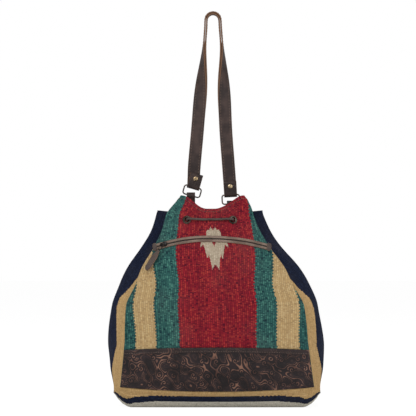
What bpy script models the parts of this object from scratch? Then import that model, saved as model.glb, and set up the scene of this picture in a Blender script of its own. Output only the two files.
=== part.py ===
"""A flat-woven kilim drawstring bucket bag with leather trim, a zip pocket and a ring-mounted shoulder strap.

Metres, +Z up. The origin is the middle of the base's underside, +X is the bag's right in front view, and the
front faces -Y. The cloth is lofted between two seams that run in a U: the front and back panels end on them,
and one strip makes both sides and the base.
"""

import math

import bmesh
import bpy
from mathutils import Matrix, Vector

# Cloth
CLOTH_THICKNESS = 0.003
SEAM_GAP = 0.0002
PANEL_HALF_WIDTH = 0.140
RED_HALF_WIDTH = 0.060
GREEN_WIDTH = 0.037
OUTER_GREEN_WIDTH = 0.013
SIDE_BEIGE_SHARE = 0.12
BASE_NAVY_SHARE = 0.20
TOP_LEAN = -0.012
LEAN_HEIGHT = 0.300

# The heights of the stations that the body's outline is drawn through, and the outline at each
STATION_HEIGHTS = (0.022, 0.094, 0.155, 0.190, 0.211, 0.245, 0.276, 0.300, 0.326)
SEAM_X = (0.140, 0.1405, 0.130, 0.108, 0.093, 0.072, 0.052, 0.042, 0.038)
SEAM_Y = (0.066, 0.070, 0.062, 0.050, 0.042, 0.031, 0.024, 0.017, 0.014)
EDGE_X = (0.140, 0.1405, 0.1358, 0.119, 0.111, 0.089, 0.073, 0.065, 0.048)
EDGE_Y = (0.066, 0.070, 0.0668, 0.062, 0.056, 0.047, 0.040, 0.034, 0.028)
BELLY_Y = (0.070, 0.084, 0.084, 0.079, 0.075, 0.065, 0.052, 0.042, 0.034)
EDGE_SHARE = (1.0, 1.0, 0.95, 0.88, 0.80, 0.64, 0.58, 0.56, 0.48)
SIDE_X = (0.154, 0.166, 0.160, 0.146, 0.134, 0.108, 0.089, 0.081, 0.078)

# Rims
FRONT_DIP_Z = 0.305
FRONT_PEAK_Z = 0.325
FRONT_DIP_HALF = 0.016
FRONT_PEAK_U = 0.067
BACK_DIP_Z = 0.299
BACK_PEAK_Z = 0.313
BACK_DIP_HALF = 0.050
BACK_PEAK_U = 0.074
SEAM_TOP_Z = 0.298
EAR_LIFT = 0.004
SEAM_LOW_Z = 0.0225
SEAM_END_RISE = 0.006

# How the side-and-base strip stands out from its seams: at the base's corners, up the sides and in the ears
CORNER_REACH = 0.020
CORNER_TURN_HEIGHT = 0.050
CORNER_RISE_HEIGHT = 0.030
CORNER_RUN_LENGTH = 0.014
BASE_FLAT_SHARE = 0.52
BASE_ROUNDING = 2.2
SIDE_FORM_HEIGHT = 0.040
EAR_LOW_Z = 0.200
EAR_BLEND_HEIGHT = 0.080
SEAM_STRETCH = 0.0066

# The gathers under the lace, one crest on the middle and on each eyelet
EYELET_U = 0.0405
EYELET_Z = 0.287
BACK_EYELET_Z = 0.278
GATHER_DEPTH = 0.0020
GATHER_START_Z = 0.225
GATHER_FULL_Z = 0.310

# Leather bands
BAND_TOP_Z = 0.091
BAND_THICKNESS = 0.0018
BAND_HEM_HEIGHT = 0.008
BAND_HEM_THICKNESS = 0.0030
BAND_END_INSET = 0.004
BAND_FOOT_RISE = 0.002
HEM_ROW_GAP = 0.004
FIT_GAP = 0.0004

# Zip pocket
ZIP_HALF_U = 0.087
ZIP_MIDDLE_Z = 0.259
ZIP_DROOP = 0.014
TEETH_HALF_WIDTH = 0.0014
TEETH_HEIGHT = 0.0012
BINDING_WIDTH = 0.0040
BINDING_THICKNESS = 0.0014
ZIP_TAB_LENGTH = 0.017
ZIP_TAB_WIDTH = 0.0085
ZIP_TAB_THICKNESS = 0.0016
ZIP_TAB_OVERLAP = 0.0005
ZIP_TAB_BEYOND_END = 0.0012
ZIP_TAB_SEAT = 0.0030
ZIP_TAB_TILT = 0.0010
SLIDER_FROM_END = 0.013
SLIDER_U = -(ZIP_HALF_U - SLIDER_FROM_END)
SLIDER_LENGTH = 0.0105
SLIDER_WIDTH = 0.0070
SLIDER_HEIGHT = 0.0026
SLIDER_CLEARANCE = 0.0007
PULL_LENGTH = 0.036
PULL_WIDTH = 0.0090
PULL_THICKNESS = 0.0022
PULL_ANGLE = math.radians(228.0)
PULL_LINK_LENGTH = 0.011
LINK_WIRE_RADIUS = 0.0006
LINK_HALF_WIDTH = 0.0022
POCKET_DEPTH = 0.105
POCKET_THICKNESS = 0.0012
POCKET_HALF_U = 0.090
POCKET_BELOW_ZIP = 0.004

# Eyelets and lace
EYELET_HOLE_RADIUS = 0.0033
EYELET_BARREL_RADIUS = 0.0041
EYELET_FLANGE_RADIUS = 0.0068
EYELET_FLANGE_HEIGHT = 0.0020
EYELET_FIT = 0.0003
BEAD_SEAT = 0.0008
CLINCH_SEAT = 0.0016
CLINCH_RADIUS = 0.0054
CLINCH_THICKNESS = 0.0008
LACE_RADIUS = 0.0018
LACE_OVER_BEAD = 0.0006
LACE_OVER_CREST = 0.0012
LACE_INSIDE_X = 0.0345
LACE_STOP_U = (0.010, 0.022)
LACE_STOP_LIFT = (0.0030, 0.0036)
BEAD_STOP_U = (0.0315, 0.0380)
LACE_HOLE_LIFT = 0.0022
LACE_HOLE_DEPTH = 0.0030
LACE_INSIDE_DEPTH = 0.0095
LACE_INSIDE_STEP = 0.001
KNOT_RADIUS = 0.0058
KNOT_GAP = 0.0003
KNOT_FLATNESS = 0.45

# Rings and their tabs, on the back panel's inner face
RING_WIRE_RADIUS = 0.0011
RING_INNER_WIDTH = 0.025
RING_INNER_HEIGHT = 0.012
RING_CORNER_RADIUS = 0.0035
RING_Y = 0.0270
LEFT_RING_X = -0.0388
LEFT_RING_Z = 0.3317
LEFT_RING_TILT = math.radians(-16.0)
RIGHT_RING_X = 0.0217
RIGHT_RING_Z = 0.3190
RIGHT_RING_TILT = math.radians(3.0)
TAB_WIDTH = 0.0140
TAB_THICKNESS = 0.0014
TAB_LOOP_INNER_RADIUS = 0.0034
TAB_FOOT_Z = 0.2870
TAB_FEELER_STEP = 0.006

# Shoulder strap, two layers of leather
STRAP_WIDTH = 0.020
LAYER_THICKNESS = 0.0022
LAYER_GAP = 0.0005
STRAP_TOP_Z = 0.611
ARCH_RADIUS = 0.0122
ARCH_X = -0.0062
TWIST_TOP_Z = 0.575
TWIST_LOW_Z = 0.440
LEG_HEIGHTS = (0.372, 0.425, 0.474, 0.536, 0.568, 0.588)
LEFT_LEG_X = (-0.0353, -0.0306, -0.0268, -0.0225, -0.0202, -0.0188)
RIGHT_LEG_X = (0.0180, 0.0140, 0.0120, 0.0102, 0.0082, 0.0066)
FACE_ABOVE_BAR = 0.006
LEVEL_START = 0.012
LEVEL_HEIGHT = 0.035
FOLD_BACK_LENGTH = 0.021
RIVET_HEAD_RADIUS = 0.0035
RIVET_HEAD_HEIGHT = 0.0014
RIVET_BACK_HEIGHT = 0.0008
RIVET_HOLE_LENGTH = 0.030
RIVET_SHANK_RADIUS = 0.0012
RIVET_FIT = 0.0003
RIVET_ABOVE_BAR = 0.013

# Base board
BOARD_HALF_LENGTH = 0.112
BOARD_HALF_DEPTH = 0.030
BOARD_THICKNESS = 0.0022
BOARD_LIFT = 0.0003

FRONT = -1
BACK = 1
ROW_SHARES = (0.0, 0.09, 0.18, 0.27, 0.37, 0.47, 0.56, 0.64, 0.71, 0.78, 0.84, 0.89, 0.945, 1.0)
SIDE_STEPS = (0.0, 0.06, 0.12, 0.19, 0.27, 0.40, 0.60, 0.73, 0.81, 0.88, 0.94, 1.0)
ROUND_STEPS = 14
RIVET_STEPS = 16

COLOURS = {
    "red_weave": ((0.30, 0.018, 0.03), 0.85, 0.0),
    "green_weave": ((0.03, 0.11, 0.085), 0.85, 0.0),
    "cream_weave": ((0.50, 0.33, 0.15), 0.85, 0.0),
    "beige_weave": ((0.42, 0.27, 0.12), 0.85, 0.0),
    "navy_weave": ((0.012, 0.02, 0.06), 0.85, 0.0),
    "offwhite_weave": ((0.42, 0.40, 0.34), 0.85, 0.0),
    "tooled_leather": ((0.04, 0.022, 0.02), 0.45, 0.0),
    "strap_leather": ((0.055, 0.036, 0.032), 0.5, 0.0),
    "taupe_leather": ((0.13, 0.09, 0.07), 0.6, 0.0),
    "zip_black": ((0.012, 0.011, 0.011), 0.45, 0.3),
    "aged_brass": ((0.36, 0.26, 0.14), 0.35, 1.0),
    "dark_metal": ((0.06, 0.045, 0.038), 0.35, 1.0),
    "lace_leather": ((0.06, 0.04, 0.035), 0.6, 0.0),
    "pocket_cotton": ((0.35, 0.30, 0.22), 0.9, 0.0),
    "grey_board": ((0.18, 0.16, 0.13), 0.9, 0.0),
}


def clear_scene():
    for found in list(bpy.data.objects):
        bpy.data.objects.remove(found, do_unlink=True)


def make_material(name):
    colour, roughness, metallic = COLOURS[name]
    material = bpy.data.materials.new(name)
    material.use_nodes = True
    shader = material.node_tree.nodes["Principled BSDF"]
    shader.inputs["Base Color"].default_value = (*colour, 1.0)
    shader.inputs["Roughness"].default_value = roughness
    shader.inputs["Metallic"].default_value = metallic
    material.diffuse_color = (*colour, 1.0)
    return material


def smooth(share):
    share = min(1.0, max(0.0, share))
    return share * share * (3.0 - 2.0 * share)


def slopes(heights, values):
    """The slope at each station, flat where the outline turns, so that the curve never overshoots."""
    steps = [(values[i + 1] - values[i]) / (heights[i + 1] - heights[i]) for i in range(len(values) - 1)]
    found = [steps[0]]
    for before, after in zip(steps, steps[1:]):
        found.append(0.0 if before * after <= 0 else 2.0 * before * after / (before + after))
    found.append(steps[-1])
    return found


def outline(values, z):
    """A body measure at height z, on a smooth curve through the stations."""
    z = min(max(z, STATION_HEIGHTS[0]), STATION_HEIGHTS[-1])
    found = slopes(STATION_HEIGHTS, values)
    index = 0
    while index < len(STATION_HEIGHTS) - 2 and z > STATION_HEIGHTS[index + 1]:
        index += 1
    span = STATION_HEIGHTS[index + 1] - STATION_HEIGHTS[index]
    t = (z - STATION_HEIGHTS[index]) / span
    near = (2 * t**3 - 3 * t**2 + 1) * values[index] + (t**3 - 2 * t**2 + t) * span * found[index]
    far = (3 * t**2 - 2 * t**3) * values[index + 1] + (t**3 - t**2) * span * found[index + 1]
    return near + far


def lean(z):
    return TOP_LEAN * (max(z, 0.0) / LEAN_HEIGHT) ** 2


def gather(u, z):
    """How far the cloth stands out at a gather under the lace."""
    strength = smooth((z - GATHER_START_Z) / (GATHER_FULL_Z - GATHER_START_Z))
    across = 1.0 - smooth((abs(u) - 1.2 * EYELET_U) / (0.7 * EYELET_U))
    return GATHER_DEPTH * strength * across * math.cos(2.0 * math.pi * u / EYELET_U)


def cloth_point(side, u, z):
    """The outer face of a panel at u along its width and height z. Past the edge the cloth folds back to the seam."""
    edge_u = outline(EDGE_SHARE, z) * PANEL_HALF_WIDTH
    edge = Vector((outline(EDGE_X, z), outline(EDGE_Y, z)))
    seam = Vector((outline(SEAM_X, z), outline(SEAM_Y, z)))
    belly = outline(BELLY_Y, z)
    reach = abs(u)
    if reach <= edge_u:
        share = reach / edge_u
        x = edge.x * share
        y = belly + (edge.y - belly) * share**2 + gather(u, z)
    else:
        share = (reach - edge_u) / (PANEL_HALF_WIDTH - edge_u)
        turn = Vector((edge.x + 0.10 * (edge.y - seam.y), 0.5 * (edge.y + seam.y)))
        place = (1 - share) ** 2 * edge + 2 * share * (1 - share) * turn + share**2 * seam
        x, y = place
    return Vector((math.copysign(x, u) + lean(z), side * y, z))


def low_z(u):
    return SEAM_LOW_Z + SEAM_END_RISE * (u / PANEL_HALF_WIDTH) ** 2


def rim_z(side, u):
    dip_half, peak_u, dip, peak = FRONT_DIP_HALF, FRONT_PEAK_U, FRONT_DIP_Z, FRONT_PEAK_Z
    if side == BACK:
        dip_half, peak_u, dip, peak = BACK_DIP_HALF, BACK_PEAK_U, BACK_DIP_Z, BACK_PEAK_Z
    reach = abs(u)
    if reach <= peak_u:
        return dip + (peak - dip) * smooth((reach - dip_half) / (peak_u - dip_half))
    return peak + (SEAM_TOP_Z - peak) * smooth((reach - peak_u) / (PANEL_HALF_WIDTH - peak_u))


def panel_point(side, u, share):
    z = low_z(u) + share * (rim_z(side, u) - low_z(u))
    return cloth_point(side, u, z)


def surface_normal(place, a, b, step=1e-4):
    """The unit normal of a surface at (a, b), from its two tangents."""
    along = place(a + step, b) - place(a - step, b)
    up = place(a, b + step) - place(a, b - step)
    return along.cross(up).normalized()


def panel_normal(side, u, share):
    """The outward normal. At the seams it is that of the last stretch of cloth, which may be folded back."""
    last = SEAM_STRETCH
    held_u = min(max(u, -PANEL_HALF_WIDTH + 2e-4), PANEL_HALF_WIDTH - 2e-4)
    held_share = min(max(share, 2e-4), 1 - 2e-4)
    low_u, high_u = held_u - 1e-4, held_u + 1e-4
    if abs(u) > PANEL_HALF_WIDTH - last:
        low_u, high_u = min(max(u - last, -PANEL_HALF_WIDTH), u), max(min(u + last, PANEL_HALF_WIDTH), u)
    along = panel_point(side, high_u, held_share) - panel_point(side, low_u, held_share)
    rise = panel_point(side, held_u, held_share + 1e-4) - panel_point(side, held_u, held_share - 1e-4)
    found = along.cross(rise).normalized()
    return found if side == FRONT else -found


def cloth_frame(side, u, z):
    """A point of a panel's outer face, its normal, and the direction of growing u."""
    found = surface_normal(lambda a, b: cloth_point(side, a, b), u, z)
    normal = found if side == FRONT else -found
    along = (cloth_point(side, u + 1e-4, z) - cloth_point(side, u - 1e-4, z)).normalized()
    return cloth_point(side, u, z), normal, along


def panel_columns():
    borders = [0.0, RED_HALF_WIDTH, RED_HALF_WIDTH + GREEN_WIDTH]
    borders += [PANEL_HALF_WIDTH - OUTER_GREEN_WIDTH, PANEL_HALF_WIDTH]
    counts = (6, 4, 3, 2)
    half = [0.0]
    for start, end, count in zip(borders, borders[1:], counts):
        half += [start + (end - start) * (i + 1) / count for i in range(count)]
    return [-u for u in reversed(half[1:])] + half


def strip_stations():
    """Where the side-and-base strip is cut: down the left seam, along the base and up the right seam."""
    corner = PANEL_HALF_WIDTH
    left = [(-corner, share) for share in reversed(ROW_SHARES)]
    base = [(u, 0.0) for u in panel_columns()[1:-1]]
    right = [(corner, share) for share in ROW_SHARES]
    return left + base + right


def strip_bulge(u, share, z):
    """The direction in which the strip stands out from its two seams, and how far."""
    sign = math.copysign(1.0, u)
    if share > 0.0 or abs(u) >= PANEL_HALF_WIDTH:
        turn = 0.25 * math.pi * (1.0 - smooth((z - low_z(u)) / CORNER_TURN_HEIGHT))
        reach = outline(SIDE_X, z) - outline(SEAM_X, z)
        far = CORNER_REACH + (reach - CORNER_REACH) * smooth((z - low_z(u)) / CORNER_RISE_HEIGHT)
    else:
        flat = smooth((PANEL_HALF_WIDTH - abs(u)) / CORNER_RUN_LENGTH)
        turn = 0.25 * math.pi * (1.0 + flat)
        far = CORNER_REACH + (low_z(u) - CORNER_REACH) * flat
    return Vector((sign * math.cos(turn), 0.0, -math.sin(turn))), far


def strip_point(u, share, v):
    """The outer face of the side-and-base strip, v from the front seam to the back seam."""
    front = panel_point(FRONT, u, share)
    back = panel_point(BACK, u, share)
    away, far = strip_bulge(u, share, front.z)
    w = abs(2.0 * v - 1.0)
    is_side = share > 0.0 or abs(u) >= PANEL_HALF_WIDTH
    full = 1.0 - max(0.0, (w - BASE_FLAT_SHARE) / (1.0 - BASE_FLAT_SHARE)) ** BASE_ROUNDING
    if is_side:
        round_side = 1.0 - w**2.0
        folded_ear = 1.0 - w**1.3
        height = smooth((front.z - EAR_LOW_Z) / EAR_BLEND_HEIGHT)
        low = smooth((front.z - low_z(u)) / SIDE_FORM_HEIGHT)
        side_form = round_side + (folded_ear - round_side) * height
        full = full + (side_form - full) * low
    point = front.lerp(back, v) + away * far * full
    if is_side:
        point.z += EAR_LIFT * full * smooth((share - 0.8) / 0.2)
    return point


def seam_offset(first, second, thickness):
    """The inward step at a seam that both pieces share, so that their ends meet on one plane."""
    middle = (first + second).normalized()
    return middle * (-thickness / max(0.55, middle.dot(first)))


def strip_normal(stations, index, v):
    """The strip's outward normal at one of its stations."""
    before = strip_point(*stations[max(index - 1, 0)], v)
    after = strip_point(*stations[min(index + 1, len(stations) - 1)], v)
    step = 1e-3
    low_v, high_v = max(v - step, 0.0), min(v + step, 1.0)
    across = strip_point(*stations[index], high_v) - strip_point(*stations[index], low_v)
    return across.cross(after - before).normalized()


def link(obj, collection):
    collection.objects.link(obj)
    return obj


def finish_solid(built, mesh):
    """Cuts the faces into triangles the same way on every piece, so that layers that twist together stay apart."""
    bmesh.ops.triangulate(built, faces=built.faces, quad_method="FIXED", ngon_method="BEAUTY")
    bmesh.ops.recalc_face_normals(built, faces=built.faces)
    if built.calc_volume(signed=True) < 0:
        bmesh.ops.reverse_faces(built, faces=built.faces)
    built.to_mesh(mesh)


def lofted(name, rings, closed_ring, material, collection, face_material=None):
    """A closed solid through rings of points. A closed ring's ends are capped."""
    mesh = bpy.data.meshes.new(name)
    built = bmesh.new()
    rows = [[built.verts.new(point) for point in ring] for ring in rings]
    count = len(rings[0])
    for i in range(len(rows) - 1):
        for j in range(count if closed_ring else count - 1):
            k = (j + 1) % count
            corners = [rows[i][j], rows[i][k], rows[i + 1][k], rows[i + 1][j]]
            if j >= count // 2:
                corners = corners[1:] + corners[:1]
            face = built.faces.new(corners)
            if face_material:
                face.material_index = face_material(i, j)
    built.faces.new(list(reversed(rows[0])))
    built.faces.new(rows[-1])
    finish_solid(built, mesh)
    built.free()
    obj = bpy.data.objects.new(name, mesh)
    for each in material if isinstance(material, (list, tuple)) else [material]:
        mesh.materials.append(each)
    mesh.shade_smooth()
    mesh.set_sharp_from_angle(angle=math.radians(40.0))
    return link(obj, collection)


def sheet(name, outer, inner, materials, collection, stripe=None):
    """A closed sheet between an outer and an inner grid of points, rows first. stripe picks each cell's material."""
    mesh = bpy.data.meshes.new(name)
    built = bmesh.new()
    grids = [[[built.verts.new(point) for point in row] for row in grid] for grid in (outer, inner)]
    rows, columns = len(outer), len(outer[0])

    def add(corners, row, column):
        face = built.faces.new(corners)
        if stripe:
            face.material_index = stripe(min(row, rows - 2), min(column, columns - 2))

    for i in range(rows - 1):
        for j in range(columns - 1):
            for grid in grids:
                add((grid[i][j], grid[i][j + 1], grid[i + 1][j + 1], grid[i + 1][j]), i, j)
        for j in (0, columns - 1):
            front, back = grids
            add((front[i][j], front[i + 1][j], back[i + 1][j], back[i][j]), i, j)
    for j in range(columns - 1):
        for i in (0, rows - 1):
            front, back = grids
            add((front[i][j], front[i][j + 1], back[i][j + 1], back[i][j]), i, j)
    finish_solid(built, mesh)
    built.free()
    for material in materials:
        mesh.materials.append(material)
    mesh.shade_smooth()
    mesh.set_sharp_from_angle(angle=math.radians(40.0))
    return link(bpy.data.objects.new(name, mesh), collection)


def pulled_back(grid):
    """The grid with its seam edges drawn in by the seam gap: both side columns and the first row."""
    drawn = [[point.copy() for point in row] for row in grid]
    for i, row in enumerate(grid):
        drawn[i][0] += (row[1] - row[0]).normalized() * SEAM_GAP
        drawn[i][-1] += (row[-2] - row[-1]).normalized() * SEAM_GAP
    for j in range(len(grid[0])):
        drawn[0][j] += (grid[1][j] - grid[0][j]).normalized() * SEAM_GAP
    return drawn


def strip_normals_at_seam(side):
    stations = strip_stations()
    v = 0.0 if side == FRONT else 1.0
    return {stations[i]: strip_normal(stations, i, v) for i in range(len(stations))}


def panel_grids(side):
    columns = panel_columns()
    seam = strip_normals_at_seam(side)
    outer, inner = [], []
    for share in ROW_SHARES:
        outer_row, inner_row = [], []
        for u in columns:
            point = panel_point(side, u, share)
            normal = panel_normal(side, u, share)
            step = -normal * CLOTH_THICKNESS
            if (u, share) in seam:
                step = seam_offset(normal, seam[(u, share)], CLOTH_THICKNESS)
            outer_row.append(point)
            inner_row.append(point + step)
        outer.append(outer_row)
        inner.append(inner_row)
    return pulled_back(outer), pulled_back(inner)


def stripe_of(u):
    """Which colour a panel's column has: 0 red, 1 green, 2 cream."""
    reach = abs(u)
    if reach < RED_HALF_WIDTH:
        return 0
    if reach < RED_HALF_WIDTH + GREEN_WIDTH:
        return 1
    return 2 if reach < PANEL_HALF_WIDTH - OUTER_GREEN_WIDTH else 1


def make_panel(name, side, paints, collection):
    columns = panel_columns()
    stripes = [stripe_of(0.5 * (a + b)) for a, b in zip(columns, columns[1:])]
    outer, inner = panel_grids(side)
    materials = [paints["red_weave"], paints["green_weave"], paints["cream_weave"]]
    return sheet(name, outer, inner, materials, collection, lambda row, column: stripes[column])


def make_strip(paints, collection):
    """The one strip that makes both sides and the base, its stripes running its whole length."""
    stations = strip_stations()
    outer, inner = [], []
    for index, (u, share) in enumerate(stations):
        outer_row, inner_row = [], []
        for v in SIDE_STEPS:
            point = strip_point(u, share, v)
            normal = strip_normal(stations, index, v)
            step = -normal * CLOTH_THICKNESS
            if v in (0.0, 1.0):
                side = FRONT if v == 0.0 else BACK
                step = seam_offset(normal, panel_normal(side, u, share), CLOTH_THICKNESS)
            outer_row.append(point)
            inner_row.append(point + step)
        outer.append(outer_row)
        inner.append(inner_row)
    for grid in (outer, inner):
        for row in grid:
            row[0], row[-1] = (
                row[0] + (row[1] - row[0]).normalized() * SEAM_GAP,
                row[-1] + (row[-2] - row[-1]).normalized() * SEAM_GAP,
            )
    def stripe(row, column):
        near = 0.5 * (SIDE_STEPS[column] + SIDE_STEPS[column + 1])
        near = min(near, 1.0 - near)
        if near < SIDE_BEIGE_SHARE:
            return 0
        is_base = stations[row][1] == 0.0 and stations[row + 1][1] == 0.0
        return 2 if is_base and near > BASE_NAVY_SHARE else 1

    materials = [paints["beige_weave"], paints["navy_weave"], paints["offwhite_weave"]]
    return sheet("side_base_gusset", outer, inner, materials, collection, stripe)


def band_share(side, u, z):
    return (z - low_z(u)) / (rim_z(side, u) - low_z(u))


def make_band(name, side, material, collection):
    """A leather band over the panel's foot, with its top edge turned over into a thicker hem."""
    columns = [u * (1.0 - BAND_END_INSET / PANEL_HALF_WIDTH) for u in panel_columns()]
    hem_low = BAND_TOP_Z - BAND_HEM_HEIGHT
    full_height = FRONT_PEAK_Z - low_z(0.0)
    body_rows = len([share for share in ROW_SHARES if low_z(0.0) + share * full_height < hem_low - HEM_ROW_GAP])
    rows = [(share, None, False) for share in ROW_SHARES[:body_rows]]
    rows += [(None, hem_low, False), (None, hem_low, True), (None, BAND_TOP_Z, True)]
    outer, inner = [], []
    for share, height, is_hem in rows:
        outer_row, inner_row = [], []
        for u in columns:
            z = height
            if height is None:
                z = max(low_z(u) + BAND_FOOT_RISE, low_z(u) + share * (rim_z(side, u) - low_z(u)))
            panel_share = band_share(side, u, z)
            point = panel_point(side, u, panel_share)
            normal = panel_normal(side, u, panel_share)
            thickness = BAND_HEM_THICKNESS if is_hem else BAND_THICKNESS
            outer_row.append(point + normal * (FIT_GAP + thickness))
            inner_row.append(point + normal * FIT_GAP)
        outer.append(outer_row)
        inner.append(inner_row)
    return sheet(name, outer, inner, [material], collection)


def make_pocket_bag(material, collection):
    """The flat cotton pocket that hangs behind the zip, against the front panel's inner face."""
    columns = [u for u in panel_columns() if abs(u) < POCKET_HALF_U]
    top = ZIP_MIDDLE_Z - POCKET_BELOW_ZIP
    heights = [top - POCKET_DEPTH * (1 - i / 6) for i in range(7)]
    outer, inner = [], []
    for z in heights:
        outer_row, inner_row = [], []
        for u in columns:
            height = z - ZIP_DROOP * (u / ZIP_HALF_U) ** 2 * smooth((z - heights[0]) / POCKET_DEPTH)
            point, normal, _ = cloth_frame(FRONT, u, height)
            near = CLOTH_THICKNESS + 2.0 * FIT_GAP
            outer_row.append(point - normal * near)
            inner_row.append(point - normal * (near + POCKET_THICKNESS))
        outer.append(outer_row)
        inner.append(inner_row)
    return sheet("zip_pocket_bag", outer, inner, [material], collection)


def zip_z(u):
    return ZIP_MIDDLE_Z - ZIP_DROOP * (u / ZIP_HALF_U) ** 2


def zip_frame(u):
    """The zip's middle line at u: its point on the cloth, the normal, the run and the way up across it."""
    point, normal, _ = cloth_frame(FRONT, u, zip_z(u))
    step = 5e-4
    run = (cloth_point(FRONT, u + step, zip_z(u + step)) - cloth_point(FRONT, u - step, zip_z(u - step))).normalized()
    up = normal.cross(run).normalized()
    return point, normal, run, up


def zip_strip(name, low, high, lift, height, material, collection, count=24):
    """A strip that follows the zip, between two distances across it, standing on the cloth."""
    rings = []
    for i in range(count + 1):
        u = -ZIP_HALF_U + 2.0 * ZIP_HALF_U * i / count
        point, normal, _, up = zip_frame(u)
        corners = ((low, lift), (high, lift), (high, lift + 0.7 * height), (0.5 * (low + high), lift + height))
        corners += ((low, lift + 0.7 * height),)
        rings.append([point + up * across + normal * above for across, above in corners])
    return lofted(name, rings, True, material, collection)


def make_zip(paints, collection):
    zip_strip("zip_teeth", -TEETH_HALF_WIDTH, TEETH_HALF_WIDTH, FIT_GAP, TEETH_HEIGHT, paints["zip_black"], collection)
    near = TEETH_HALF_WIDTH + EYELET_FIT
    far = near + BINDING_WIDTH
    taupe = paints["taupe_leather"]
    zip_strip("upper_zip_binding", near, far, FIT_GAP, BINDING_THICKNESS, taupe, collection)
    zip_strip("lower_zip_binding", -far, -near, FIT_GAP, BINDING_THICKNESS, taupe, collection)


def make_zip_tab(name, sign, material, collection):
    """The leather end that covers the zip's cut end, a small folded strip down across it."""
    u = sign * (ZIP_HALF_U + ZIP_TAB_BEYOND_END)
    point, normal, run, up = zip_frame(u)
    away = run * sign
    rings = []
    for i in range(7):
        along = ZIP_TAB_LENGTH * (0.38 - i / 6)
        half = 0.5 * ZIP_TAB_WIDTH
        drop = 0.10 * max(0.0, -along)
        beside = half - ZIP_TAB_OVERLAP + 0.30 * max(0.0, -along)
        base = point + up * along + away * beside - normal * drop
        low, high = ZIP_TAB_SEAT, ZIP_TAB_SEAT + ZIP_TAB_THICKNESS
        rings.append(
            [base - away * half + normal * low, base + away * half + normal * (low - ZIP_TAB_TILT)]
            + [base + away * half + normal * (high - ZIP_TAB_TILT), base - away * half + normal * high]
        )
    return lofted(name, rings, True, material, collection)


def circle_through(a, b, c):
    """The middle and the axis of the circle through three points."""
    first, second = b - a, c - a
    axis = first.cross(second)
    square = 2.0 * axis.length_squared
    middle = a + (axis.cross(first) * second.length_squared + second.cross(axis) * first.length_squared) / square
    return middle, axis.normalized()


def zip_arc():
    """The arc that the slider runs on, through the zip's ends and middle."""
    points = []
    for u in (SLIDER_U, 0.0, -SLIDER_U):
        point, normal, _, _ = zip_frame(u)
        points.append(point + normal * TEETH_HEIGHT)
    return circle_through(*points)


def rounded_box(name, length, width, height, material, collection, bevel=0.0008):
    mesh = bpy.data.meshes.new(name)
    built = bmesh.new()
    bmesh.ops.create_cube(built, size=1.0)
    bmesh.ops.scale(built, vec=(length, width, height), verts=built.verts)
    built.to_mesh(mesh)
    built.free()
    mesh.materials.append(material)
    obj = link(bpy.data.objects.new(name, mesh), collection)
    edge = obj.modifiers.new("round", "BEVEL")
    edge.width = bevel
    edge.segments = 2
    mesh.shade_smooth()
    mesh.set_sharp_from_angle(angle=math.radians(40.0))
    return obj


def frame_matrix(origin, x_axis, y_axis, z_axis):
    turned = Matrix((x_axis, y_axis, z_axis)).transposed().to_4x4()
    return Matrix.Translation(origin) @ turned


def slider_frame():
    point, normal, run, up = zip_frame(SLIDER_U)
    lift = FIT_GAP + max(TEETH_HEIGHT, BINDING_THICKNESS) + SLIDER_CLEARANCE + 0.5 * SLIDER_HEIGHT
    return point + normal * lift, normal, run, up


def make_slider(paints, collection):
    """The zip slider: a waisted body over the teeth."""
    place, normal, run, up = slider_frame()
    half = 0.5 * SLIDER_LENGTH
    rings = []
    for along, wide in ((-1.0, 0.55), (-0.5, 0.8), (0.1, 1.0), (0.7, 0.95), (1.0, 0.7)):
        across = 0.5 * SLIDER_WIDTH * wide
        low, high = -0.5 * SLIDER_HEIGHT, 0.5 * SLIDER_HEIGHT
        at = place + run * along * half
        rings.append(
            [at - up * across + normal * low, at + up * across + normal * low]
            + [at + up * across + normal * 0.4 * high, at + up * 0.5 * across + normal * high]
            + [at - up * 0.5 * across + normal * high, at - up * across + normal * 0.4 * high]
        )
    return lofted("zip_slider", rings, True, paints["zip_black"], collection)


def pull_frame():
    """The pull's hinge: a point over the slider, the way it hangs, the hinge axis and the way off the bag."""
    place, normal, run, up = slider_frame()
    hang = (run * math.cos(PULL_ANGLE) + up * math.sin(PULL_ANGLE)).normalized()
    axis = normal.cross(hang).normalized()
    pivot = place + normal * (0.5 * SLIDER_HEIGHT + LINK_WIRE_RADIUS + 0.0004)
    return pivot, hang, axis, normal


def poly_tube(name, points, radius, material, collection, closed=False, resolution=2):
    curve = bpy.data.curves.new(name, "CURVE")
    curve.dimensions = "3D"
    curve.bevel_depth = radius
    curve.bevel_resolution = resolution
    curve.use_fill_caps = not closed
    spline = curve.splines.new("POLY")
    spline.points.add(len(points) - 1)
    for target, point in zip(spline.points, points):
        target.co = (*point, 1.0)
    spline.use_cyclic_u = closed
    curve.materials.append(material)
    return link(bpy.data.objects.new(name, curve), collection)


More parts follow.
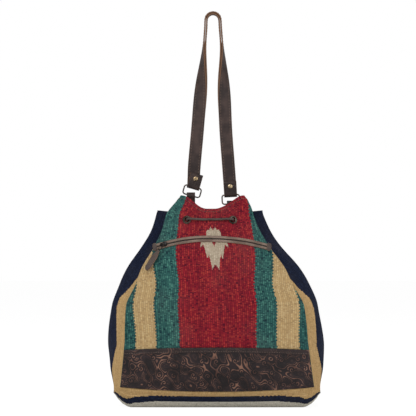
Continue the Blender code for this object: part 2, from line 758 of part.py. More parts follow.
def make_pull(paints, collection):
    """The wire link on the slider and the leather tongue that hangs from it."""
    pivot, hang, axis, normal = pull_frame()
    reach, half = PULL_LINK_LENGTH, LINK_HALF_WIDTH
    outline_2d = [(0.0, -half), (0.0, half), (0.3 * reach, 1.2 * half), (0.9 * reach, 0.8 * half)]
    outline_2d += [(reach, 0.0), (0.9 * reach, -0.8 * half), (0.3 * reach, -1.2 * half)]
    points = [pivot + hang * along + axis * across for along, across in outline_2d]
    poly_tube("zip_pull_link", points, LINK_WIRE_RADIUS, paints["dark_metal"], collection, closed=True)
    rings = []
    start = reach + LINK_WIRE_RADIUS + FIT_GAP
    for i in range(9):
        share = i / 8
        wide = 0.5 * PULL_WIDTH * (0.42 + 0.58 * smooth(share / 0.35))
        if share > 0.8:
            wide = 0.5 * PULL_WIDTH * math.sqrt(max(0.16, 1.0 - ((share - 0.8) / 0.2) ** 2))
        at = pivot + hang * (start + share * PULL_LENGTH)
        low = -0.5 * PULL_THICKNESS
        rings.append([at + axis * side * wide + normal * (low + top * PULL_THICKNESS)
                      for side, top in ((-1, 0), (1, 0), (1, 1), (-1, 1))])
    lofted("zip_pull", rings, True, paints["strap_leather"], collection)


def turned(name, profile, steps, material, collection, is_ring=False):
    """A profile at +X, listed down its outer side, turned about Z. A ring's profile comes back to its start."""
    mesh = bpy.data.meshes.new(name)
    points = [(x, 0.0, z) for x, z in profile]
    edges = [(i, i + 1) for i in range(len(points) - 1)]
    if is_ring:
        edges.append((len(points) - 1, 0))
    mesh.from_pydata(points, edges, [])
    mesh.materials.append(material)
    obj = link(bpy.data.objects.new(name, mesh), collection)
    turn = obj.modifiers.new("turn", "SCREW")
    turn.axis = "Z"
    turn.steps = steps
    turn.render_steps = steps
    turn.use_merge_vertices = True
    turn.merge_threshold = 0.00001
    turn.use_normal_calculate = is_ring
    return obj


def round_cutter(name, radius, depth, steps, place, solids, cutters):
    """A hole through some solids, round about the place's Z."""
    built = bmesh.new()
    bmesh.ops.create_cone(built, cap_ends=True, segments=steps, radius1=radius, radius2=radius, depth=depth)
    mesh = bpy.data.meshes.new(name)
    built.to_mesh(mesh)
    built.free()
    cutter = link(bpy.data.objects.new(name, mesh), cutters)
    cutter.matrix_world = place
    cutter.hide_render = True
    cutter.display_type = "WIRE"
    for solid in solids:
        hole = solid.modifiers.new(name, "BOOLEAN")
        hole.operation = "DIFFERENCE"
        hole.object = cutter


def eyelet_z(side):
    return EYELET_Z if side == FRONT else BACK_EYELET_Z


def eyelet_frames():
    found = {}
    for side_name, side in (("front", FRONT), ("back", BACK)):
        for hand, sign in (("left", -1), ("right", 1)):
            point, normal, along = cloth_frame(side, sign * EYELET_U, eyelet_z(side))
            found[f"{side_name}_{hand}_eyelet"] = (point, normal, along)
    return found


def make_eyelets(material, collection):
    """Rolled metal eyelets: an outer bead, a barrel through the cloth and a flat clinch inside."""
    bead, barrel, hole = EYELET_FLANGE_RADIUS, EYELET_BARREL_RADIUS, EYELET_HOLE_RADIUS
    top = BEAD_SEAT + EYELET_FLANGE_HEIGHT
    under = -CLOTH_THICKNESS - CLINCH_SEAT
    foot = under - CLINCH_THICKNESS
    middle = 0.5 * (bead + hole)
    profile = [(hole + 0.0004, top - 0.0004), (middle, top), (bead - 0.0006, top - 0.0006), (bead, BEAD_SEAT + 0.0008)]
    profile += [(bead - 0.0003, BEAD_SEAT), (barrel, BEAD_SEAT), (barrel, under), (CLINCH_RADIUS, under)]
    profile += [(CLINCH_RADIUS, foot), (hole + 0.0004, foot), (hole, under), (hole, top - 0.0010)]
    for name, (point, normal, along) in eyelet_frames().items():
        eyelet = turned(name, profile, ROUND_STEPS, material, collection, is_ring=True)
        eyelet.matrix_world = frame_matrix(point, along, normal.cross(along), normal)


def cut_eyelet_holes(panels, cutters):
    """Round holes through the panels for the eyelets' barrels."""
    radius = EYELET_BARREL_RADIUS + EYELET_FIT
    for name, (point, normal, along) in eyelet_frames().items():
        panel = panels[FRONT] if name.startswith("front") else panels[BACK]
        place = frame_matrix(point, along, normal.cross(along), normal)
        round_cutter(f"{name}_hole", radius, 5.0 * CLOTH_THICKNESS, ROUND_STEPS, place, [panel], cutters)


def smooth_route(points, count):
    """Evenly spaced points on a smooth curve through the route's own points."""
    padded = [points[0] * 2 - points[1], *points, points[-1] * 2 - points[-2]]
    fine = []
    pieces = 12
    for index in range(len(points) - 1):
        a, b, c, d = padded[index : index + 4]
        for i in range(pieces):
            t = i / pieces
            curve = b * 2 + (c - a) * t + (a * 2 - b * 5 + c * 4 - d) * t**2 + (b * 3 - a - c * 3 + d) * t**3
            fine.append(curve * 0.5)
    fine.append(points[-1].copy())
    travelled = [0.0]
    for before, after in zip(fine, fine[1:]):
        travelled.append(travelled[-1] + (after - before).length)
    found = []
    index = 0
    for i in range(count):
        goal = travelled[-1] * i / (count - 1)
        while index < len(fine) - 2 and travelled[index + 1] < goal:
            index += 1
        span = travelled[index + 1] - travelled[index]
        found.append(fine[index].lerp(fine[index + 1], (goal - travelled[index]) / span))
    return found


def lace_half(side, sign):
    """The lace's route at one eyelet: from the middle of a panel, over the eyelet and in through it."""
    over = EYELET_FLANGE_HEIGHT + BEAD_SEAT + LACE_RADIUS
    stops = list(zip(LACE_STOP_U, LACE_STOP_LIFT)) + [(u, over + LACE_OVER_BEAD) for u in BEAD_STOP_U]
    stops += [(EYELET_U, LACE_HOLE_LIFT), (EYELET_U, -LACE_HOLE_DEPTH)]
    stops.append((EYELET_U - LACE_INSIDE_STEP, -LACE_INSIDE_DEPTH))
    route = []
    for u, lift in stops:
        point, normal, _ = cloth_frame(side, sign * u, eyelet_z(side))
        route.append(point + normal * lift)
    return route


def lace_route():
    """The whole lace: out of the knot at the back, round the inside, across the front and back again."""
    left_back = lace_half(BACK, -1)
    left_front = lace_half(FRONT, -1)
    right_front = lace_half(FRONT, 1)
    right_back = lace_half(BACK, 1)
    inside_z = 0.5 * (EYELET_Z + BACK_EYELET_Z)
    left_inside = Vector((-LACE_INSIDE_X + lean(inside_z), 0.0, inside_z))
    right_inside = Vector((LACE_INSIDE_X + lean(inside_z), 0.0, inside_z))
    crest, normal, _ = cloth_frame(FRONT, 0.0, EYELET_Z)
    middle = [crest + normal * (LACE_RADIUS + LACE_OVER_CREST)]
    route = left_back + [left_inside] + list(reversed(left_front)) + middle + right_front + [right_inside]
    return route + list(reversed(right_back))


def make_lace(paints, collection):
    poly_tube("drawstring", smooth_route(lace_route(), 76), LACE_RADIUS, paints["lace_leather"], collection)
    route = lace_route()
    middle = (route[0] + route[-1]) * 0.5
    mesh = bpy.data.meshes.new("drawstring_knot")
    built = bmesh.new()
    bmesh.ops.create_uvsphere(built, u_segments=14, v_segments=9, radius=KNOT_RADIUS)
    half_width = 0.5 * (route[0] - route[-1]).length - KNOT_GAP
    bmesh.ops.scale(built, vec=(half_width / KNOT_RADIUS, KNOT_FLATNESS, 0.85), verts=built.verts)
    built.to_mesh(mesh)
    built.free()
    mesh.materials.append(paints["lace_leather"])
    mesh.shade_smooth()
    knot = link(bpy.data.objects.new("drawstring_knot", mesh), collection)
    crest, normal, _ = cloth_frame(BACK, 0.0, BACK_EYELET_Z)
    knot.location = (middle.x, crest.y + KNOT_FLATNESS * KNOT_RADIUS + 2.0 * FIT_GAP, middle.z)


def ring_places():
    return {
        "left": (Vector((LEFT_RING_X, RING_Y, LEFT_RING_Z)), LEFT_RING_TILT),
        "right": (Vector((RIGHT_RING_X, RING_Y, RIGHT_RING_Z)), RIGHT_RING_TILT),
    }


def ring_axes(tilt):
    across = Vector((math.cos(tilt), 0.0, math.sin(tilt)))
    up = Vector((-math.sin(tilt), 0.0, math.cos(tilt)))
    return across, up


def ring_bar(hand, top):
    """The middle of a ring's top or bottom bar."""
    centre, tilt = ring_places()[hand]
    _, up = ring_axes(tilt)
    half = 0.5 * RING_INNER_HEIGHT + RING_WIRE_RADIUS
    return centre + up * (half if top else -half)


def make_ring(hand, material, collection):
    """A rectangular loop of round wire with bent corners."""
    centre, tilt = ring_places()[hand]
    across, up = ring_axes(tilt)
    half_width = 0.5 * RING_INNER_WIDTH + RING_WIRE_RADIUS
    half_height = 0.5 * RING_INNER_HEIGHT + RING_WIRE_RADIUS
    points = []
    for quarter in range(4):
        sign_x = 1 if quarter in (0, 3) else -1
        sign_z = 1 if quarter in (0, 1) else -1
        corner_x = sign_x * (half_width - RING_CORNER_RADIUS)
        corner_z = sign_z * (half_height - RING_CORNER_RADIUS)
        for i in range(5):
            angle = math.radians(90.0 * quarter + 22.5 * i)
            x = corner_x + RING_CORNER_RADIUS * math.cos(angle)
            z = corner_z + RING_CORNER_RADIUS * math.sin(angle)
            points.append(centre + across * x + up * z)
    return poly_tube(f"{hand}_ring", points, RING_WIRE_RADIUS, material, collection, closed=True)


def band_rings(path, widths, normals, thickness):
    """Sections of a flat band along a path: the middle, the width direction and the normal of each."""
    rings = []
    for point, (across, half), normal in zip(path, widths, normals):
        step = normal * 0.5 * thickness
        side = across * half
        rings.append([point - side - step, point + side - step, point + side + step, point - side + step])
    return rings


def make_tab(hand, material, collection):
    """The leather tab that holds a ring: up the back panel's inner face, round the ring and down again."""
    bar = ring_bar(hand, top=False)
    x = bar.x
    u_guess = (x - lean(TAB_FOOT_Z)) * 1.15
    radius = TAB_LOOP_INNER_RADIUS + 0.5 * TAB_THICKNESS
    inner_y = {}
    for z in (TAB_FOOT_Z, 0.5 * (TAB_FOOT_Z + BACK_DIP_Z), BACK_DIP_Z):
        near = [cloth_point(BACK, u_guess + i * TAB_FEELER_STEP, z).y for i in range(-2, 3)]
        inner_y[z] = min(near) - CLOTH_THICKNESS - FIT_GAP - 0.5 * TAB_THICKNESS
    path, normals = [], []
    for z, y in inner_y.items():
        path.append(Vector((x, y, z)))
        normals.append(Vector((0.0, 1.0, 0.0)))
    for i in range(11):
        angle = math.radians(-30.0 + 240.0 * i / 10)
        outward = Vector((0.0, math.cos(angle), math.sin(angle)))
        path.append(bar + outward * radius)
        normals.append(outward)
    for z in reversed(list(inner_y)):
        path.append(Vector((x, inner_y[z] - TAB_THICKNESS - LAYER_GAP, z)))
        normals.append(Vector((0.0, -1.0, 0.0)))
    widths = [(Vector((1.0, 0.0, 0.0)), 0.5 * TAB_WIDTH)] * len(path)
    rings = band_rings(path, widths, normals, TAB_THICKNESS)
    return lofted(f"{hand}_ring_tab", rings, True, material, collection)


def leg_points():
    """The strap's middle line: up the left leg, round the arch and down the right leg."""
    left_bar = ring_bar("left", top=True)
    right_bar = ring_bar("right", top=True)
    arch_z = STRAP_TOP_Z - ARCH_RADIUS
    left_route = [(left_bar.x, left_bar.z)] + list(zip(LEFT_LEG_X, LEG_HEIGHTS))
    right_route = list(zip(reversed(RIGHT_LEG_X), reversed(LEG_HEIGHTS))) + [(right_bar.x, right_bar.z)]
    arch = [(ARCH_X - ARCH_RADIUS * math.cos(math.radians(a)), arch_z + ARCH_RADIUS * math.sin(math.radians(a)))
            for a in range(0, 181, 30)]
    return [Vector((x, RING_Y, z)) for x, z in left_route + arch + right_route]


def strap_frames(count=88):
    """Points along the strap with the direction across it and the normal of its outer face."""
    points = smooth_route(leg_points(), count)
    left_tilt, right_tilt = ring_places()["left"][1], ring_places()["right"][1]
    frames = []
    for i, point in enumerate(points):
        before, after = points[max(i - 1, 0)], points[min(i + 1, count - 1)]
        run = (after - before).normalized()
        outward = Vector((-run.z, 0.0, run.x))
        turn = 0.5 * math.pi * smooth((TWIST_TOP_Z - point.z) / (TWIST_TOP_Z - TWIST_LOW_Z))
        normal = (outward * math.cos(turn) + Vector((0.0, -1.0, 0.0)) * math.sin(turn)).normalized()
        across = run.cross(normal).normalized()
        is_left = i < count / 2
        tilt = left_tilt if is_left else right_tilt
        bar = ring_bar("left" if is_left else "right", top=True)
        near_ring = 1.0 - smooth((point.z - bar.z - LEVEL_START) / LEVEL_HEIGHT)
        level, _ = ring_axes(tilt)
        if across.dot(level) < 0:
            level = -level
        across = across.lerp(level, near_ring).normalized()
        frames.append((point, across, normal))
    return frames


def make_strap(paints, collection, cutters):
    """Two stitched layers. The rear one goes round each ring's top bar and is turned up in front, riveted."""
    layer = LAYER_THICKNESS
    pitch = layer + LAYER_GAP
    half = 0.5 * STRAP_WIDTH
    left_floor = ring_bar("left", True).z + FACE_ABOVE_BAR
    right_floor = ring_bar("right", True).z + FACE_ABOVE_BAR
    frames = [f for f in strap_frames() if f[0].z > (left_floor if f[0].x < ARCH_X else right_floor)]
    face_path = [point for point, _, _ in frames]
    widths = [(across, half) for _, across, _ in frames]
    normals = [normal for _, _, normal in frames]
    face_rings = band_rings(face_path, widths, normals, layer)
    face = lofted("strap_face", face_rings, True, paints["strap_leather"], collection)
    rear_path = [point - normal * pitch for point, _, normal in frames]
    loops = {}
    for hand, frame in (("left", frames[0]), ("right", frames[-1])):
        bar = ring_bar(hand, top=True)
        level, up = ring_axes(ring_places()[hand][1])
        across = frame[1]
        path, outs = [], []
        for i in range(8):
            angle = math.radians(180.0 * i / 7)
            out = Vector((0.0, math.cos(angle), 0.0)) - up * math.sin(angle)
            path.append(bar + out * pitch)
            outs.append(-out)
        for share in (0.35, 0.7, 1.0):
            path.append(bar + Vector((0.0, -pitch, 0.0)) + up * FOLD_BACK_LENGTH * share)
            outs.append(Vector((0.0, 1.0, 0.0)))
        loops[hand] = (path, [(across, half)] * len(path), outs)
    left_path, left_widths, left_normals = loops["left"]
    right_path, right_widths, right_normals = loops["right"]
    path = list(reversed(left_path)) + rear_path + right_path
    all_widths = list(reversed(left_widths)) + widths + right_widths
    all_normals = list(reversed(left_normals)) + normals + right_normals
    rings = band_rings(path, all_widths, all_normals, layer)
    rear = lofted("strap_backing", rings, True, paints["strap_leather"], collection)
    make_rivets(face, rear, paints, collection, cutters)


def make_rivets(face, rear, paints, collection, cutters):
    """A brass rivet through each turned-up end and both layers behind it."""
    front = 1.5 * LAYER_THICKNESS + LAYER_GAP + RIVET_FIT
    back = -front
    end = back - RIVET_BACK_HEIGHT
    head, shank, dome = RIVET_HEAD_RADIUS, RIVET_SHANK_RADIUS, RIVET_HEAD_HEIGHT
    profile = [(0.0, front + dome), (0.6 * head, front + 0.75 * dome), (head, front + 0.25 * dome), (head, front)]
    profile += [(shank, front), (shank, back), (head, back), (0.8 * head, end), (0.0, end)]
    for hand in ("left", "right"):
        bar = ring_bar(hand, top=True)
        _, up = ring_axes(ring_places()[hand][1])
        centre = bar + up * RIVET_ABOVE_BAR
        place = frame_matrix(centre, Vector((1, 0, 0)), Vector((0, 0, 1)), Vector((0, -1, 0)))
        rivet = turned(f"{hand}_rivet", profile, RIVET_STEPS, paints["aged_brass"], collection)
        rivet.matrix_world = place
        radius = shank + RIVET_FIT
        round_cutter(f"{hand}_rivet_hole", radius, RIVET_HOLE_LENGTH, RIVET_STEPS, place, [face, rear], cutters)


def make_base_board(material, collection):
    """The stiff board that lies on the base inside."""
    board = rounded_box(
        "base_board", 2 * BOARD_HALF_LENGTH, 2 * BOARD_HALF_DEPTH, BOARD_THICKNESS, material, collection, 0.0005
    )
    board.location = (0.0, 0.0, CLOTH_THICKNESS + FIT_GAP + 0.5 * BOARD_THICKNESS + BOARD_LIFT)


def build():
    clear_scene()
    bag = bpy.data.collections.new("kilim_bucket_bag")
    cutters = bpy.data.collections.new("cutters")
    for collection in (bag, cutters):
        bpy.context.scene.collection.children.link(collection)
    paints = {name: make_material(name) for name in COLOURS}
    panels = {
        FRONT: make_panel("front_panel", FRONT, paints, bag),
        BACK: make_panel("back_panel", BACK, paints, bag),
    }
    make_strip(paints, bag)
    cut_eyelet_holes(panels, cutters)
    make_band("front_leather_band", FRONT, paints["tooled_leather"], bag)
    make_band("back_leather_band", BACK, paints["tooled_leather"], bag)
    make_base_board(paints["grey_board"], bag)
    make_pocket_bag(paints["pocket_cotton"], bag)
    make_zip(paints, bag)
    make_zip_tab("left_zip_tab", -1, paints["taupe_leather"], bag)
    make_zip_tab("right_zip_tab", 1, paints["taupe_leather"], bag)
    make_slider(paints, bag)
    make_pull(paints, bag)
    make_eyelets(paints["dark_metal"], bag)
    make_lace(paints, bag)
    for hand in ("left", "right"):
        make_ring(hand, paints["dark_metal"], bag)
        make_tab(hand, paints["strap_leather"], bag)
    make_strap(paints, bag, cutters)


build()
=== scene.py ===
import math

import bmesh
import bpy
import numpy as np
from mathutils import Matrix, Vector


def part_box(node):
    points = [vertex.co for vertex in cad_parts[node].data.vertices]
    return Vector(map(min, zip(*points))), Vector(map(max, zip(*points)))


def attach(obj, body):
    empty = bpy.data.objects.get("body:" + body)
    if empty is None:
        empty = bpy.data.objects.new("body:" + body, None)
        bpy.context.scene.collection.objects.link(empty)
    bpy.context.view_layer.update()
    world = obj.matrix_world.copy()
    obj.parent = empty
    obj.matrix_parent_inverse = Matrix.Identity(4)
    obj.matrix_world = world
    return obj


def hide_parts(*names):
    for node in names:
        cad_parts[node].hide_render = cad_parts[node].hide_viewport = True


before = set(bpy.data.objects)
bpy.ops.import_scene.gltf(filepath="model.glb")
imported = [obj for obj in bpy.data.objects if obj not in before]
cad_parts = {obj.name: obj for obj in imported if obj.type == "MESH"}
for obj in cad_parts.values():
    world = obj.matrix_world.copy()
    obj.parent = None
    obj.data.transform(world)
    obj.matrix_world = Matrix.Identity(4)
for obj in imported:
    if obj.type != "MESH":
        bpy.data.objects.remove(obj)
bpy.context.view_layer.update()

# The body's outline in metres. It follows the solids, but the foot flares a little more at its corners.
FRONT, BACK = -1, 1
HALF_WIDTH = 0.140
CLOTH = 0.003
STATIONS = (0.022, 0.094, 0.155, 0.190, 0.211, 0.245, 0.276, 0.300, 0.326)
SEAM_X = (0.1490, 0.1405, 0.130, 0.108, 0.093, 0.072, 0.052, 0.042, 0.038)
SEAM_Y = (0.066, 0.070, 0.062, 0.050, 0.042, 0.031, 0.024, 0.017, 0.014)
EDGE_X = (0.1490, 0.1405, 0.1358, 0.119, 0.111, 0.089, 0.073, 0.065, 0.048)
EDGE_Y = (0.066, 0.070, 0.0668, 0.062, 0.056, 0.047, 0.040, 0.034, 0.028)
BELLY_Y = (0.070, 0.084, 0.084, 0.079, 0.075, 0.065, 0.052, 0.042, 0.034)
EDGE_SHARE = (1.0, 1.0, 0.95, 0.88, 0.80, 0.64, 0.58, 0.56, 0.48)
SIDE_X = (0.163, 0.1665, 0.160, 0.146, 0.134, 0.108, 0.089, 0.081, 0.078)
OUTLINE_STEP = 5e-4
FOLD_BULGE = 0.10
FEELER_STEP = 3e-4

# The lean to the left, and how the rim swings back
TOP_LEAN = -0.012
LEAN_HEIGHT = 0.300
RIM_RETURN = 0.0070
RIM_TURN_Z = 0.290
RIM_TURN_HEIGHT = 0.034

# The rim of each panel: the height of its dip and its peak, then how far across each of them lies
RIM = {FRONT: (0.3045, 0.325, 0.007, 0.066), BACK: (0.299, 0.313, 0.050, 0.074)}
RIM_HEM = 0.0048
RIM_STITCHES = 58
RIM_STITCH_REACH = 0.110
SEAM_TOP_Z = 0.298
SEAM_LOW_Z = 0.0265
SEAM_END_RISE = 0.0065
PANEL_HEIGHT = 0.300

# The side-and-base strip: its corners at the foot, how flat its base is and how its sides bulge
CORNER_TURN = math.radians(45.0)
CORNER_TURN_HEIGHT = 0.035
CORNER_REACH = 0.0160
CORNER_REACH_HEIGHT = 0.03
FOOT_ROUNDING = 0.014
BASE_FLAT_SHARE = 0.52
BASE_EDGE_POWER = 2.2
SIDE_POWER = 2.0
EAR_POWER = 1.3
EAR_LIFT = 0.004
EAR_LOW_Z = 0.200
EAR_FADE = 0.08
BASE_TOP_Z = 0.027
BASE_FADE = 0.04
SIDE_ROWS = 84
BASE_COLUMNS = 96
STRIP_COLUMNS = 177
STRIP_TOOTH = 0.0012
BASE_ROW = 120

# Eyelets and the gathers between them
EYELET_U = 0.0405
EYELET_Z = {FRONT: 0.287, BACK: 0.278}
GATHER_DEPTH = 0.0020
GATHER_START_Z = 0.225
GATHER_FULL_Z = 0.310
GATHER_REACH = 1.2
GATHER_FADE = 0.7

# The weave: ribs up the cloth, picks across them, and the toothed edge between two colours
RIB = 0.0030
RIB_HEIGHT = 0.00032
RIB_LEVEL = 0.75
PICK = 0.0017
STEP_HEIGHT = 0.0025
SAWTOOTH = 0.0015
LIGHT_FLECKS = 0.80
DARK_FLECKS = 0.88
STRAND_SHADES = 0.42
SLACK = 0.0011

# The panels' stripes. The back's are even. The front's aren't: where red ends on each side, and where cream
# starts and ends.
RED_HALF = 0.060
GREEN_END = 0.097
CREAM_END = 0.1255
RED_LEFT = 0.0545
RED_RIGHT_HEIGHTS = (0.13, 0.16, 0.245, 0.285)
RED_RIGHT = (0.060, 0.061, 0.0645, 0.0710)
CREAM_LEFT = (0.0905, 0.1215)
CREAM_RIGHT = (0.0910, 0.1250)

# How far the strip's beige and navy stripes reach from its seam, as shares of its width. A place under 0 is
# minus the height up the side, a place over 0 is the distance along the base from the corner.
STRIPE_PLACES = (-0.200, -0.181, -0.167, -0.152, -0.130, -0.095, -0.074, -0.058, -0.044, -0.029)
STRIPE_PLACES += (0.0, 0.020, 0.050, 0.140)
BEIGE_SHARES = (0.10, 0.13, 0.198, 0.21, 0.18, 0.145, 0.22, 0.29, 0.28, 0.19, 0.105, 0.055, 0.038, 0.035)
NAVY_SHARES = (0.56, 0.56, 0.56, 0.56, 0.56, 0.56, 0.50, 0.43, 0.37, 0.26, 0.165, 0.112, 0.088, 0.085)

# The stepped figure's half outline, in millimetres from its middle line and above the floor, and the red
# notch under its crown
MOTIF_U = 0.0038
MOTIF_HALF = [(0.0, 272.0), (3.5, 276.0), (6.0, 272.5), (9.0, 272.5), (12.0, 269.0), (12.0, 262.0)]
MOTIF_HALF += [(19.9, 258.0), (21.7, 245.5), (16.5, 250.0), (14.5, 242.0), (11.7, 228.6), (9.0, 234.5)]
MOTIF_HALF += [(7.2, 226.0), (5.3, 212.4), (0.0, 219.8)]
NOTCH_LOW = 247.5
NOTCH_HIGH = 259.0
NOTCH_HALF = 5.6

# The leather bands over the panels' feet
BAND_HALF = 0.1393
BAND_HEIGHT = 0.069
BAND_TOP_Z = 0.091
BAND_CREST = 0.0035
BAND_CREST_FALL = 0.0045
BAND_HEM = 0.008
BAND_LIFT = 0.0019
BAND_EDGE_ROUNDING = 0.0009
RIDGE_HEIGHT = 0.00075
HEM_HEIGHT = 0.0009
HEM_STITCH_PITCH = 0.0036
BAND_BACK_LIFT = 0.0005

# The tooling, in millimetres: long waves whose contours are the leaf ribs, and rows of curls between them
TOOLING_SEED = 11
FLOW_WAVES = 14
FLOW_LENGTHS = (17.0, 33.0)
RIBS_PER_FLOW = 3.1
CURL_LEVELS = (9.0, 27.0, 46.0, 64.0)
CURL_SPACING = 24.0
CURL_RADIUS = 5.0
CURL_TURN = 3.4

# The zip, its edging and the pocket behind it
ZIP_HALF_U = 0.087
ZIP_MIDDLE_Z = 0.259
ZIP_DROOP = 0.014
ZIP_SAG = 0.0010
ZIP_SAG_U = 0.012
ZIP_SAG_HALF = 0.034
EDGING_OFFSET = 0.0030
EDGING_HALF = 0.0019
EDGING_THICKNESS = 0.0015
END_TAB_LENGTH = 0.0062
END_TAB_HALF = 0.0062
COILS = 150
COIL_LIFT = 0.0011
COIL_RADII = (0.0006, 0.00055, 0.0011)
COIL_ASIDE = 0.00045
EDGING_STEPS = 120
POCKET_HALF_U = 0.088
POCKET_TOP_Z = 0.2545
POCKET_DEPTH = 0.105
POCKET_THICKNESS = 0.0014
POCKET_GAP = 0.0008

# The slider's bridge, and the tongue: its neck's share of its width, then where its
# full width and its end start, as shares of its length
SLIDER_U = -0.074
BRIDGE_RADIUS = 0.0007
BRIDGE_HALF_LENGTH = 0.0036
BRIDGE_FOOT = 0.0030
BRIDGE_RISE = 0.0022
TONGUE_NECK = 0.42
TONGUE_FULL = 0.35
TONGUE_END = 0.8
TONGUE_END_NARROWEST = 0.10
TONGUE_BOW = 0.0004
TONGUE_STITCHES = 9
TONGUE_STITCH_REACH = 0.55

# The lace
LACE_RADIUS = 0.0018
BEAD_TOP = 0.0028
LACE_STEP = 0.0016
LACE_INSIDE_X = 0.0345
LACE_OVER_CREST = 0.0012
LACE_STOPS = ((0.010, 0.0030), (0.022, 0.0036))
LACE_OVER_BEAD = 0.0006
BEAD_STOP_U = (0.0315, 0.0380)
LACE_THROUGH = ((0.0, 0.0022), (0.0, -0.0030), (-0.001, -0.0095))
KNOT_RADIUS = 0.00150
KNOT_POINTS = 90
KNOT_RING = 0.0030
KNOT_WAVE = 0.0012
KNOT_STRETCH = 1.5
TUBE_ROUNDNESS = 4

# Rings: where each stands and its tilt in degrees. Then the tabs that hold them.
RING_Y = 0.0270
RING_PLACES = {"left": (-0.0388, 0.3317, -16.0), "right": (0.0217, 0.3190, 3.0)}
RING_BAR_OFFSET = 0.0071
TAB_FOOT_Z = 0.2870
TAB_LOOP_RADIUS = 0.0044
TAB_HALF = 0.0066
TAB_THICKNESS = 0.0013
TAB_LAYER_PITCH = 0.0018

# The strap: its two layers, its arch and the route of each leg from its ring to the arch, as x and z
STRAP_HALF = 0.010
LAYER = 0.0022
LAYER_PITCH = 0.0027
FOLD_BACK = 0.021
ARCH_RADIUS = 0.0122
ARCH_X = -0.0062
STRAP_TOP_Z = 0.611
LEG_HEIGHTS = (0.372, 0.425, 0.474, 0.536, 0.568, 0.588)
LEFT_LEG = list(zip((-0.0353, -0.0306, -0.0268, -0.0225, -0.0202, -0.0188), LEG_HEIGHTS))
RIGHT_LEG = list(zip((0.0066, 0.0082, 0.0102, 0.0120, 0.0140, 0.0180), reversed(LEG_HEIGHTS)))
STRAP_STEP = 0.0022
TWIST_TOP_Z = 0.575
TWIST_HEIGHT = 0.135
FACE_ABOVE_BAR = 0.006
LEVEL_ABOVE_BAR = 0.012
LEVEL_FADE = 0.035
STRAP_STITCH_OFFSET = 0.0068

# Half the section of a flat leather band with eased edges, as shares of its half width and its thickness
BAND_FACE = ((-1.0, -0.35), (-0.93, -0.5), (-0.5, -0.5), (0.0, -0.5), (0.5, -0.5), (0.93, -0.5), (1.0, -0.35))
BAND_SECTION = BAND_FACE + tuple((-x, -y) for x, y in BAND_FACE)

# The yarns by number, and the colour of each with its light and its dark fleck, as linear values. The dark
# fleck colour is also the painted shade between the ribs.
YARNS = ("red", "green", "cream", "motif", "beige", "navy", "offwhite")
YARN_COLOURS = {
    "red": ((0.310, 0.017, 0.027), (0.48, 0.055, 0.04), (0.060, 0.005, 0.016)),
    "green": ((0.036, 0.130, 0.114), (0.09, 0.27, 0.21), (0.006, 0.020, 0.032)),
    "cream": ((0.54, 0.370, 0.172), (0.66, 0.50, 0.27), (0.31, 0.205, 0.10)),
    "motif": ((0.46, 0.38, 0.28), (0.58, 0.50, 0.38), (0.33, 0.26, 0.19)),
    "beige": ((0.60, 0.385, 0.165), (0.70, 0.49, 0.24), (0.36, 0.23, 0.10)),
    "navy": ((0.010, 0.015, 0.038), (0.020, 0.030, 0.072), (0.004, 0.006, 0.017)),
    "offwhite": ((0.66, 0.63, 0.54), (0.78, 0.75, 0.66), (0.40, 0.37, 0.31)),
}

# The leathers: body colour, worn colour and cut edge
LEATHER_COLOURS = {
    "strap": ((0.022, 0.0125, 0.0115), (0.070, 0.044, 0.038), (0.17, 0.085, 0.045)),
    "edging": ((0.135, 0.088, 0.066), (0.26, 0.190, 0.150), (0.21, 0.13, 0.085)),
    "lace": ((0.045, 0.030, 0.026), (0.085, 0.062, 0.054), None),
    "pull": ((0.045, 0.030, 0.027), (0.09, 0.065, 0.055), (0.22, 0.13, 0.08)),
}
TOOLED_GROUND = ((0.007, 0.0038, 0.0045), (0.021, 0.0115, 0.013))
TOOLED_COPPER = ((0.14, 0.058, 0.040), (0.26, 0.130, 0.085))
TOOLED_HEM = (0.040, 0.024, 0.022)
FADED_YARN = (0.42, 0.36, 0.28)
HIDE_SCALE = 1300.0

# The metals: body colour, tarnish and roughness. The plain materials: two colours, roughness and grain.
METALS = {
    "aged_brass": ((0.52, 0.40, 0.24), (0.30, 0.21, 0.12), 0.30),
    "dark_metal": ((0.10, 0.075, 0.062), (0.035, 0.027, 0.023), 0.30),
    "black_metal": ((0.030, 0.028, 0.028), (0.012, 0.012, 0.012), 0.35),
}
PLAINS = {
    "zip_coil_black": ((0.010, 0.009, 0.009), (0.03, 0.026, 0.024), 0.45, 900.0),
    "waxed_thread": ((0.110, 0.068, 0.050), (0.20, 0.135, 0.100), 0.7, 1500.0),
    "pocket_cotton": ((0.30, 0.26, 0.20), (0.40, 0.35, 0.27), 0.9, 1200.0),
    "base_board": ((0.12, 0.11, 0.09), (0.19, 0.17, 0.14), 0.9, 600.0),
}

# The camera at the photo's angle, and the lamps: name, place, size and power
CAMERA_X, CAMERA_Z = -0.0140, 0.3055
CAMERA_DISTANCE = 3.5
PICTURE_WIDTH = 0.6448
SENSOR = 36.0
LAMP_TARGET = (0.0, 0.0, 0.25)
LAMPS = (
    ("key_lamp", (-1.1, -1.7, 1.7), 1.4, 26.0),
    ("fill_lamp", (1.6, -1.6, 1.0), 1.6, 15.0),
    ("top_lamp", (0.1, 0.7, 2.1), 1.2, 12.0),
)


def smooth(share):
    """Eases a share from 0 to 1."""
    share = np.clip(share, 0.0, 1.0)
    return share * share * (3.0 - 2.0 * share)


